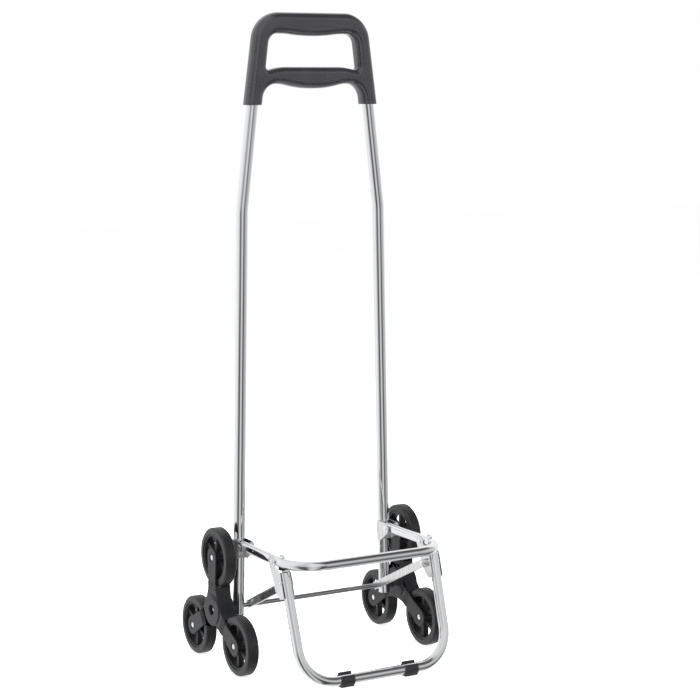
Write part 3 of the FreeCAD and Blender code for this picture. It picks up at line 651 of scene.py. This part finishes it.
def softened(node: str, finish: Finishes, width: float, segments: int = 2,
             sharp_from: float = 34.0) -> bpy.types.Object:
    """Round the sharp edges of a node on a merged copy that takes its place.

    Args:
        node: The node's name.
        finish: The piece's finish.
        width: Width of the rounding, in metres.
        segments: Steps of the rounding.
        sharp_from: Edges that turn more than this, in degrees, are rounded.

    Returns:
        The rounded piece, riding on the node's body.
    """
    bm = bmesh.new()
    bm.from_mesh(frame["nodes"][node].data)
    bmesh.ops.remove_doubles(bm, verts=bm.verts, dist=WELD)
    bmesh.ops.dissolve_limit(bm, angle_limit=FLAT, verts=bm.verts, edges=bm.edges)
    bmesh.ops.recalc_face_normals(bm, faces=bm.faces)
    sharp = [edge for edge in bm.edges if edge.is_manifold
             and edge.calc_face_angle() > math.radians(sharp_from)]
    bmesh.ops.bevel(bm, geom=sharp, offset=width, affect="EDGES", segments=segments, profile=0.5,
                    material=-1, clamp_overlap=False, loop_slide=False)
    made = finished("soft_" + node, bm, finish)
    made.data.set_sharp_from_angle(angle=CREASE)
    even = made.modifiers.new("even_shading", "WEIGHTED_NORMAL")
    even.keep_sharp = True
    return settle(made, body_of(node), finish, node)


@dataclass
class Turned:
    """Turned pieces of one profile: (along X, radius, rounding) corners spun about X axes."""

    corners: list[tuple[float, float, float]]
    centres: list[Vector]
    steps: int = 64
    arc_steps: int = 5
    sweep: float = math.tau
    start: float = 0.0

    def eased(self) -> list[Vector]:
        """Round the profile's corners.

        Returns:
            Points of the profile in the XZ plane, starting and ending as the corners do.
        """
        spots = [Vector((along, 0.0, radius)) for along, radius, ease in self.corners]
        points = [spots[0]]
        for index in range(1, len(spots) - 1):
            ease = self.corners[index][2]
            here = spots[index]
            before = (spots[index - 1] - here).normalized()
            after = (spots[index + 1] - here).normalized()
            half = before.angle(after) / 2.0
            if ease <= 0.0:
                points.append(here)
                continue
            reach = ease / math.tan(half)
            centre = here + (before + after).normalized() * (ease / math.sin(half))
            start = here + before * reach - centre
            turn = math.pi - 2.0 * half
            axis = start.cross(here + after * reach - centre).normalized()
            for step in range(self.arc_steps + 1):
                points.append(centre + Matrix.Rotation(turn * step / self.arc_steps, 3, axis) @ start)
        points.append(spots[-1])
        return points

    def build(self) -> bmesh.types.BMesh:
        """Draw the profile as a chain of edges and spin it round every centre.

        Returns:
            The turned pieces in one mesh.
        """
        whole = bmesh.new()
        points = self.eased()
        for centre in self.centres:
            tip = bmesh.ops.create_vert(whole, co=points[0])["vert"][0]
            chain = [tip]
            for point in points[1:]:
                tip = bmesh.ops.extrude_vert_indiv(whole, verts=[tip])["verts"][0]
                tip.co = point
                chain.append(tip)
            lines = [edge for edge in whole.edges if set(edge.verts) <= set(chain)]
            bmesh.ops.rotate(whole, verts=chain, cent=(0.0, 0.0, 0.0),
                             matrix=Matrix.Rotation(self.start, 3, "X"))
            bmesh.ops.translate(whole, verts=chain, vec=centre)
            bmesh.ops.spin(whole, geom=chain + lines, cent=centre, axis=(1.0, 0.0, 0.0),
                           angle=self.sweep, steps=self.steps, use_merge=self.sweep == math.tau)
        bmesh.ops.remove_doubles(whole, verts=whole.verts, dist=WELD)
        if self.sweep < math.tau:
            rims = [edge for edge in whole.edges if edge.is_boundary]
            bmesh.ops.holes_fill(whole, edges=rims, sides=0)
        bmesh.ops.recalc_face_normals(whole, faces=whole.faces)
        return whole

    def piece(self, name: str, body: str, finish: Finishes, *nodes: str) -> bpy.types.Object:
        """Make the turned pieces as one object that stands for its nodes.

        Args:
            name: The piece's name.
            body: The body it moves with.
            finish: Its finish.
            *nodes: The nodes it stands for.

        Returns:
            The finished piece.
        """
        made = finished(name, self.build(), finish)
        made.data.set_sharp_from_angle(angle=CREASE)
        return settle(made, body, finish, *nodes)


@dataclass
class TubeRun:
    """A bent tube: straight runs joined by round bends, with its own lengthwise coordinates."""

    points: list[Vector]
    bends: list[float]
    radius: float
    wall: float = 0.0012
    sides: int = 56
    bend_step: float = math.radians(3.0)
    margin: float = 0.0008

    def build(self) -> bmesh.types.BMesh:
        """Push a ring of edges along the runs and round the bends.

        Returns:
            The tube's outer skin, open at both ends.
        """
        bm = bmesh.new()
        lay = bm.verts.layers.float_vector.new("lay")
        heading = (self.points[1] - self.points[0]).normalized()
        turn = heading.to_track_quat("Z", "Y").to_matrix().to_4x4()
        bmesh.ops.create_circle(bm, segments=self.sides, radius=self.radius)
        for vert in bm.verts:
            vert[lay] = vert.co.copy()
        bmesh.ops.transform(bm, matrix=Matrix.Translation(self.points[0]) @ turn, verts=bm.verts)
        ring = list(bm.edges)
        at = self.points[0].copy()
        for index, corner in enumerate(self.points[1:]):
            last = index == len(self.bends)
            if last:
                ring = self.push(bm, lay, ring, corner - at)
                continue
            onward = (self.points[index + 2] - corner).normalized()
            angle = heading.angle(onward)
            reach = self.bends[index] * math.tan(angle / 2.0)
            stop = corner - heading * reach
            ring = self.push(bm, lay, ring, stop - at)
            axis = heading.cross(onward).normalized()
            centre = stop + axis.cross(heading) * self.bends[index]
            steps = max(3, math.ceil(angle / self.bend_step))
            for _ in range(steps):
                ring = self.swing(bm, lay, ring, centre, axis, angle / steps, self.bends[index])
            heading = onward
            at = corner + onward * reach
        bmesh.ops.recalc_face_normals(bm, faces=bm.faces)
        return bm

    def grow(self, bm: bmesh.types.BMesh, lay: object, ring: list, length: float) -> tuple[list, list]:
        """Extrude the ring and move its lengthwise coordinate on.

        Args:
            bm: The mesh.
            lay: The layer with the tube's own coordinates.
            ring: The open ring's edges.
            length: How far the new ring lies along the tube.

        Returns:
            The new ring's vertices and edges.
        """
        made = bmesh.ops.extrude_edge_only(bm, edges=ring)["geom"]
        verts = [item for item in made if isinstance(item, bmesh.types.BMVert)]
        fresh = set(verts)
        edges = [item for item in made if isinstance(item, bmesh.types.BMEdge) and set(item.verts) <= fresh]
        for vert in verts:
            vert[lay] = vert[lay] + Vector((0.0, 0.0, length))
        return verts, edges

    def push(self, bm: bmesh.types.BMesh, lay: object, ring: list, move: Vector) -> list:
        """Carry the ring straight on, with a short step at each end.

        Args:
            bm: The mesh.
            lay: The layer with the tube's own coordinates.
            ring: The open ring's edges.
            move: The way to the new ring.

        Returns:
            The new ring's edges.
        """
        heading = move.normalized()
        for length in (self.margin, move.length - 2.0 * self.margin, self.margin):
            verts, ring = self.grow(bm, lay, ring, length)
            bmesh.ops.translate(bm, verts=verts, vec=heading * length)
        return ring

    def swing(self, bm: bmesh.types.BMesh, lay: object, ring: list, centre: Vector,
              axis: Vector, angle: float, bend: float) -> list:
        """Carry the ring a step round a bend.

        Args:
            bm: The mesh.
            lay: The layer with the tube's own coordinates.
            ring: The open ring's edges.
            centre: The bend's centre.
            axis: The bend's axis.
            angle: The step's angle.
            bend: The bend's radius.

        Returns:
            The new ring's edges.
        """
        verts, edges = self.grow(bm, lay, ring, bend * angle)
        bmesh.ops.rotate(bm, cent=centre, matrix=Matrix.Rotation(angle, 3, axis), verts=verts)
        return edges

    def piece(self, name: str) -> bpy.types.Object:
        """Make the tube as an object with its wall.

        Args:
            name: The piece's name.

        Returns:
            The finished tube.
        """
        made = finished(name, self.build(), Finishes.TUBE)
        wall = made.modifiers.new("wall", "SOLIDIFY")
        wall.thickness = self.wall
        wall.offset = -1.0
        wall.use_even_offset = True
        return made


@dataclass
class Uprights:
    """The two bent uprights with the plugs in their feet."""

    bend_height: float = 0.7295
    bend_spread: float = 0.1249
    bend_radius: float = 0.110
    radius: float = 0.0095

    def build(self) -> None:
        """Make both tubes and dress the plugs."""
        for side in Side:
            node = "upright_" + side.word
            low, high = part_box(node)
            depth = (low.y + high.y) / 2.0
            outer = max(abs(low.x), abs(high.x)) - self.radius
            inner = min(abs(low.x), abs(high.x)) + self.radius
            points = [
                Vector((side.value * outer, depth, low.z)),
                Vector((side.value * self.bend_spread, depth, self.bend_height)),
                Vector((side.value * inner, depth, high.z)),
            ]
            tube = TubeRun(points, [self.bend_radius], self.radius)
            settle(tube.piece("tube_" + node), "frame", Finishes.TUBE, node)
        dress("upright_foot_plugs", Finishes.CLIP)


@dataclass
class Shelf:
    """The U-shaped shelf tube, its buffers and their rivets."""

    corner: float = 0.052
    buffer_edge: float = 0.0003
    rivet_edge: float = 0.0007
    rivet_steps: int = 3

    def build(self) -> None:
        """Make the loop and soften what is riveted to it."""
        low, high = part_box("shelf_loop")
        radius = (high.z - low.z) / 2.0
        spread = high.x - radius
        middle = (low.z + high.z) / 2.0
        front = low.y + radius
        points = [
            Vector((-spread, high.y, middle)),
            Vector((-spread, front, middle)),
            Vector((spread, front, middle)),
            Vector((spread, high.y, middle)),
        ]
        tube = TubeRun(points, [self.corner, self.corner], radius)
        settle(tube.piece("tube_shelf"), "shelf", Finishes.TUBE, "shelf_loop")
        softened("stop_buffers", Finishes.CLIP, self.buffer_edge)
        softened("buffer_rivets", Finishes.RIVET, self.rivet_edge, self.rivet_steps)


@dataclass
class Leg:
    """The U-shaped leg tube with its brackets, plugs, rivets and foot clips."""

    radius: float = 0.008
    corner: float = 0.057
    rise: float = 0.1675
    run: float = 0.0544
    foot_spread: float = 0.132
    rivet_edge: float = 0.0005
    rivet_steps: int = 3
    bracket_edge: float = 0.00025
    clip_edge: float = 0.0005

    def build(self) -> None:
        """Make the loop, and soften or dress the metalwork on it."""
        low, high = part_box("leg_loop")
        foot = Vector((0.0, low.y + self.radius, low.z + self.radius))
        spread = high.x - self.radius
        head = foot + Vector((0.0, self.run, self.rise))
        points = [
            Vector((-spread, head.y, head.z)),
            Vector((-self.foot_spread, foot.y, foot.z)),
            Vector((self.foot_spread, foot.y, foot.z)),
            Vector((spread, head.y, head.z)),
        ]
        tube = TubeRun(points, [self.corner, self.corner], self.radius)
        settle(tube.piece("tube_leg"), "leg", Finishes.TUBE, "leg_loop")
        dress("leg_plugs", Finishes.CLIP)
        for node in ("leg_pins", "leg_rivets", "strut_pins"):
            softened(node, Finishes.RIVET, self.rivet_edge, self.rivet_steps)
        for side in Side:
            softened("leg_bracket_" + side.word, Finishes.SHEET, self.bracket_edge)
            softened("foot_clip_" + side.word, Finishes.CLIP, self.clip_edge)


@dataclass
class HandGrip:
    """The one-piece double hand grip and its two screws."""

    grip_edge: float = 0.0004
    screw_edge: float = 0.0004

    def build(self) -> None:
        """Soften the grip and the screws."""
        softened("handle_grip", Finishes.GRIP, self.grip_edge)
        softened("grip_screws", Finishes.RIVET, self.screw_edge)


@dataclass
class FrameMetal:
    """Hinge brackets, struts, axle and everything threaded on it."""

    cap_height: float = 0.0024
    cap_crown: float = 0.0034
    cap_rim: float = 0.0008
    cap_foot_ease: float = 0.0003
    cap_rim_ease: float = 0.0006
    cap_crown_ease: float = 0.0016
    shoulder_out: float = 0.72
    shoulder_up: float = 0.7
    cap_steps: int = 48
    axle_radius: float = 0.0040
    bracket_edge: float = 0.0003
    strut_edge: float = 0.00025
    rivet_edge: float = 0.0005
    rivet_steps: int = 3
    washer_edge: float = 0.0003

    def turn_caps(self) -> None:
        """Turn the domed push caps on the axle's ends."""
        low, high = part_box("axle_caps")
        radius = (high.z - low.z) / 2.0
        middle = (low + high) / 2.0
        face = high.x - middle.x
        foot = face - self.cap_height
        for side in Side:
            run = [(foot, self.axle_radius, 0.0), (foot, radius, self.cap_foot_ease),
                   (face - self.cap_rim, radius, self.cap_rim_ease),
                   (face + self.cap_crown * self.shoulder_up, radius * self.shoulder_out,
                    self.cap_crown_ease),
                   (face + self.cap_crown, 0.0, 0.0)]
            corners = [(side.value * along, out, ease) for along, out, ease in run]
            nodes = ("axle_caps",) if side is Side.RIGHT else ()
            cap = Turned(corners, [middle], steps=self.cap_steps)
            cap.piece("cap_" + side.word, "frame", Finishes.RIVET, *nodes)

    def build(self) -> None:
        """Soften or dress the metalwork of the frame, and turn the caps."""
        for side in Side:
            softened("hinge_bracket_" + side.word, Finishes.SHEET, self.bracket_edge)
            softened("strut_" + side.word, Finishes.SHEET, self.strut_edge)
        for node in ("bracket_rivets", "shelf_pins"):
            softened(node, Finishes.RIVET, self.rivet_edge, self.rivet_steps)
        for node in ("pivot_washers", "axle_bushes"):
            softened(node, Finishes.RIVET, self.washer_edge)
        self.turn_caps()
        dress("axle", Finishes.ROD)
        dress("axle_sleeves", Finishes.CLIP)


@dataclass
class WheelCluster:
    """One carrier with its pins and its three wheels."""

    side: Side
    tyre_inner: float = 0.0382
    chamfer: float = 0.0022
    chamfer_ease: float = 0.0003
    groove_pitch: float = 0.0036
    groove_half: float = 0.0006
    groove_depth: float = 0.0008
    groove_count: int = 4
    groove_floor: float = 0.7
    groove_lip_ease: float = 0.00018
    groove_floor_ease: float = 0.00014
    head_height: float = 0.0012
    head_radius: float = 0.0046
    head_crown: float = 0.5
    head_crown_ease: float = 0.0014
    head_rim: float = 0.0003
    pin_radius: float = 0.0030
    arc_inner: float = 0.0185
    arc_outer: float = 0.0222
    arc_height: float = 0.0008
    arc_ease: float = 0.0004
    arc_root: float = 0.0004
    arc_sweep: float = math.radians(76.0)
    arc_steps: int = 24
    pin_steps: int = 40
    tyre_steps: int = 96
    ease_steps: int = 3
    carrier_edge: float = 0.0007
    carrier_edge_steps: int = 3
    hub_edge: float = 0.0005

    def centre(self, arm: Arm) -> Vector:
        """Middle of the wheel on an arm."""
        low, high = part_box(f"wheel_tyre_{self.side.word}_{arm.word}")
        return (low + high) / 2.0

    def tyre_corners(self, half: float, radius: float) -> list[tuple[float, float, float]]:
        """Profile of a tyre: flat sides, chamfers, and a tread with rounded grooves.

        Args:
            half: Half the tyre's width.
            radius: The tyre's outer radius.

        Returns:
            The closed profile's corners.
        """
        corners = [(half, self.tyre_inner, 0.0), (half, radius - self.chamfer, self.chamfer_ease),
                   (half - self.chamfer, radius, self.chamfer_ease)]
        for index in range(self.groove_count):
            middle = ((self.groove_count - 1) / 2.0 - index) * self.groove_pitch
            floor = radius - self.groove_depth
            corners += [(middle + self.groove_half, radius, self.groove_lip_ease),
                        (middle + self.groove_half * self.groove_floor, floor, self.groove_floor_ease),
                        (middle - self.groove_half * self.groove_floor, floor, self.groove_floor_ease),
                        (middle - self.groove_half, radius, self.groove_lip_ease)]
        corners += [(self.chamfer - half, radius, self.chamfer_ease),
                    (-half, radius - self.chamfer, self.chamfer_ease),
                    (-half, self.tyre_inner, 0.0), (half, self.tyre_inner, 0.0)]
        return corners

    def make_pins(self) -> None:
        """Turn the three wheel pins with their domed heads."""
        node = "wheel_pins_" + self.side.word
        low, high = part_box(node)
        middle = (low.x + high.x) / 2.0
        tip = (high.x - low.x) / 2.0
        foot = tip - self.head_height
        crown = self.head_radius * self.head_crown
        side_run = [(tip, 0.0, 0.0), (tip, crown, self.head_crown_ease),
                    (foot + self.head_rim, self.head_radius, self.head_rim),
                    (foot, self.head_radius - self.head_rim, 0.0), (foot, self.pin_radius, 0.0)]
        corners = side_run + [(-along, radius, ease) for along, radius, ease in reversed(side_run)]
        centres = [Vector((middle, self.centre(arm).y, self.centre(arm).z)) for arm in Arm]
        pins = Turned(corners, centres, steps=self.pin_steps)
        pins.piece("pins_" + self.side.word, "cluster_" + self.side.word, Finishes.RIVET, node)

    def make_arc(self) -> None:
        """Raise the moulded arc on the hub disc's outer face."""
        low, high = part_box("carrier_" + self.side.word)
        axle_low, axle_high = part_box("axle")
        hub = (axle_low + axle_high) / 2.0
        face = high.x if self.side is Side.RIGHT else -low.x
        root = face - self.arc_root
        crest = face + self.arc_height
        run = [(root, self.arc_inner, 0.0), (crest, self.arc_inner, self.arc_ease),
               (crest, self.arc_outer, self.arc_ease), (root, self.arc_outer, 0.0),
               (root, self.arc_inner, 0.0)]
        corners = [(self.side.value * along, out, ease) for along, out, ease in run]
        arc = Turned(corners, [hub], steps=self.arc_steps, arc_steps=self.ease_steps, sweep=self.arc_sweep,
                     start=-self.arc_sweep / 2.0)
        arc.piece("arc_" + self.side.word, "cluster_" + self.side.word, Finishes.CARRIER)

    def build(self) -> None:
        """Soften the carrier and the hubs, and turn the pins and the tyres."""
        word = self.side.word
        softened("carrier_" + word, Finishes.CARRIER, self.carrier_edge, self.carrier_edge_steps)
        self.make_arc()
        self.make_pins()
        for arm in Arm:
            place = f"{word}_{arm.word}"
            softened("wheel_hub_" + place, Finishes.HUB, self.hub_edge)
            low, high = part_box("wheel_tyre_" + place)
            half = (high.x - low.x) / 2.0
            radius = (high.z - low.z) / 2.0
            tyre = Turned(self.tyre_corners(half, radius), [self.centre(arm)], steps=self.tyre_steps,
                          arc_steps=self.ease_steps)
            tyre.piece("tyre_" + place, "wheel_" + place, Finishes.TYRE, "wheel_tyre_" + place)


# ---- studio ----------------------------------------------------------------------
@dataclass(frozen=True)
class SoftPanel:
    """A square soft light, placed from the trolley's middle and aimed at it."""

    name: str
    offset: tuple[float, float, float]
    size: float
    watts: float


@dataclass
class Studio:
    """Pale floor, soft light from big panels, and the camera."""

    eye: Vector = field(default_factory=lambda: Vector((-1.54818, -2.74011, 0.93365)))
    bearing: float = 30.145
    tilt: float = 7.770
    roll: float = -0.090
    lens: float = 101.85
    around: Stops = (
        (-180.0, 0.95), (-90.0, 0.92), (-64.0, 0.88), (-50.0, 0.72), (-40.0, 0.40), (-31.0, 0.13),
        (-12.0, 0.10), (-2.0, 0.46), (9.0, 0.72), (22.0, 0.60), (31.0, 0.34), (39.0, 0.08), (50.0, 0.09),
        (58.0, 0.30), (66.0, 0.40), (84.0, 0.48), (105.0, 0.62), (130.0, 0.80), (160.0, 0.95), (180.0, 0.95))
    upward: Stops = (
        (-1.0, 0.95), (-0.86, 0.62), (-0.79, 0.50), (-0.71, 0.24), (-0.60, 0.13), (-0.45, 0.12),
        (-0.30, 0.20), (-0.12, 0.42), (0.06, 0.58), (0.24, 0.66), (0.38, 0.56), (0.50, 0.34), (0.62, 0.18),
        (0.75, 0.09), (0.88, 0.10), (1.0, 0.20))
    window: Stops = (
        (-180.0, 0.0), (46.0, 0.0), (58.0, 1.0), (138.0, 1.0), (154.0, 0.0), (180.0, 0.0))
    behind: Stops = (
        (-180.0, 1.0), (-116.0, 1.0), (-104.0, 0.0), (122.0, 0.0), (136.0, 1.0), (180.0, 1.0))
    fill: float = 0.30
    floor_gap: float = 0.0002
    panels: tuple[SoftPanel, ...] = (
        SoftPanel("panel_above", (0.3, 0.2, 2.4), 2.4, 95.0),
        SoftPanel("panel_left", (-2.4, -1.2, 1.0), 1.8, 30.0),
        SoftPanel("panel_front", (0.9, -2.8, 0.9), 1.6, 34.0))

    def ramp(self, graph: Graph, value: bpy.types.NodeSocket, stops: Stops, low: float,
             high: float) -> bpy.types.NodeSocket:
        """Look a brightness up in a list of stops.

        Args:
            graph: The world's bench.
            value: The value to look up.
            stops: Pairs of a value and a brightness.
            low: The value at the ramp's start.
            high: The value at the ramp's end.

        Returns:
            The brightness as a colour socket.
        """
        node = graph.add("ValToRGB", {"Fac": graph.spread(value, 0.0, 1.0, low, high)})
        points = node.color_ramp.elements
        while len(points) < len(stops):
            points.new(0.5)
        for point, (where, bright) in zip(points, stops):
            point.position = (where - low) / (high - low)
            point.color = (bright, bright, bright, 1.0)
        return node.outputs["Color"]

    def around_ramp(self, graph: Graph, angle: bpy.types.NodeSocket, stops: Stops) -> bpy.types.NodeSocket:
        """Look a brightness up by the bearing, whose stops are in degrees."""
        turned = tuple((math.radians(degrees), bright) for degrees, bright in stops)
        return self.ramp(graph, angle, turned, -math.pi, math.pi)

    def light_room(self) -> None:
        """Make the room of white panels and dark gaps that the metal mirrors."""
        world = bpy.data.worlds.new("studio")
        world.use_nodes = True
        bpy.context.scene.world = world
        graph = Graph(world.node_tree)
        ahead = graph.add("TexCoord").outputs["Generated"]
        turned = graph.add("Mapping", {"Vector": ahead,
                                       "Rotation": (0.0, 0.0, math.radians(self.bearing))}).outputs[0]
        parts = graph.add("SeparateXYZ", {0: turned})
        back = graph.add("Math", {0: parts.outputs["Y"], 1: -1.0}, operation="MULTIPLY")
        angle = graph.add("Math", {0: parts.outputs["X"], 1: back.outputs[0]}, operation="ARCTAN2")
        columns = self.around_ramp(graph, angle.outputs[0], self.around)
        rows = self.ramp(graph, parts.outputs["Z"], self.upward, -1.0, 1.0)
        height = graph.add("Math", {0: parts.outputs["Z"]}, operation="ABSOLUTE")
        below = graph.spread(parts.outputs["Z"], 1.0, 0.0, -0.44, -0.16)
        over = graph.spread(parts.outputs["Z"], 0.0, 1.0, -0.08, 0.16)
        either = graph.add("Math", {0: below, 1: over}, operation="MAXIMUM")
        beside = self.around_ramp(graph, angle.outputs[0], self.window)
        banded_by = graph.add("Math", {0: either.outputs[0], 1: beside}, operation="MULTIPLY")
        steep = graph.spread(parts.outputs["Z"], 0.0, 0.7, -0.12, 0.32)
        eased = graph.blend(steep, columns, (0.85, 0.85, 0.85, 1.0))
        banded = graph.blend(banded_by.outputs[0], eased, rows)
        low = graph.spread(height.outputs[0], 1.0, 0.0, 0.60, 0.72)
        rear = self.around_ramp(graph, angle.outputs[0], self.behind)
        open_back = graph.add("Math", {0: low, 1: rear}, operation="MULTIPLY")
        seen = graph.blend(open_back.outputs[0], banded, (0.95, 0.95, 0.95, 1.0))
        path = graph.add("LightPath")
        power = graph.spread(path.outputs["Is Diffuse Ray"], 1.0, self.fill)
        mirror = graph.add("Background", {"Color": seen, "Strength": power})
        plain = graph.add("Background", {"Color": (1.0, 1.0, 1.0, 1.0), "Strength": 1.0})
        both = graph.add("MixShader", {0: path.outputs["Is Camera Ray"], 1: mirror.outputs[0],
                                       2: plain.outputs[0]})
        graph.add("OutputWorld", {"Surface": both.outputs[0]})

    def hang(self, panel: SoftPanel, middle: Vector) -> None:
        """Hang a soft light.

        Args:
            panel: The light's size, power and place.
            middle: The trolley's middle.
        """
        data = bpy.data.lights.new(panel.name, "AREA")
        data.shape = "SQUARE"
        data.size = panel.size
        data.energy = panel.watts
        lamp = bpy.data.objects.new(panel.name, data)
        away = Vector(panel.offset)
        turn = away.to_track_quat("Z", "Y").to_matrix().to_4x4()
        lamp.matrix_world = Matrix.Translation(middle + away) @ turn
        lamp.visible_glossy = False
        lamp.visible_camera = False
        bpy.context.scene.collection.objects.link(lamp)

    def lay_floor(self) -> None:
        """Lay the pale floor."""
        bm = bmesh.new()
        bmesh.ops.create_grid(bm, x_segments=8, y_segments=8, size=9.0)
        mesh = bpy.data.meshes.new("floor")
        bm.to_mesh(mesh)
        bm.free()
        made = bpy.data.materials.new("pale_floor")
        made.use_nodes = True
        graph = Graph(made.node_tree)
        place = graph.add("TexCoord").outputs["Object"]
        noise = graph.add("TexNoise", {"Vector": place, "Scale": 3.0, "Detail": 3.0})
        tone = graph.blend(noise.outputs["Fac"], (0.90, 0.90, 0.90, 1.0), (0.93, 0.93, 0.93, 1.0))
        shader = graph.add("BsdfPrincipled", {"Base Color": tone, "Roughness": 0.9})
        shader.inputs["Specular IOR Level"].default_value = 0.0
        shader.inputs["Emission Color"].default_value = (1.0, 1.0, 1.0, 1.0)
        shader.inputs["Emission Strength"].default_value = 0.75
        graph.add("OutputMaterial", {"Surface": shader.outputs[0]})
        mesh.materials.append(made)
        floor = bpy.data.objects.new("floor", mesh)
        floor.location.z = cad_box[0].z - self.floor_gap
        floor.visible_glossy = False
        bpy.context.scene.collection.objects.link(floor)

    def set_camera(self) -> None:
        """Stand the camera where the trolley is seen from the front left."""
        data = bpy.data.cameras.new("camera")
        data.lens = self.lens
        data.sensor_width = 36.0
        data.clip_start = 0.05
        data.clip_end = 60.0
        camera = bpy.data.objects.new("camera", data)
        turn = (Matrix.Rotation(math.radians(-self.bearing), 4, "Z")
                @ Matrix.Rotation(math.radians(90.0 - self.tilt), 4, "X")
                @ Matrix.Rotation(math.radians(self.roll), 4, "Z"))
        camera.matrix_world = Matrix.Translation(self.eye) @ turn
        bpy.context.scene.collection.objects.link(camera)
        bpy.context.scene.camera = camera

    def build(self) -> None:
        """Set up the light, the floor and the camera."""
        self.light_room()
        self.lay_floor()
        self.set_camera()
        middle = (cad_box[0] + cad_box[1]) / 2.0
        for panel in self.panels:
            self.hang(panel, middle)
        bpy.context.scene.view_settings.view_transform = "Standard"
        log.info("studio ready")


def main() -> None:
    """Build every sub-assembly in order."""
    logging.basicConfig(level=logging.INFO, format="%(name)s: %(message)s")
    Studio().build()
    Uprights().build()
    HandGrip().build()
    FrameMetal().build()
    Shelf().build()
    Leg().build()
    for side in Side:
        WheelCluster(side).build()


if __name__ == "__main__":
    main()
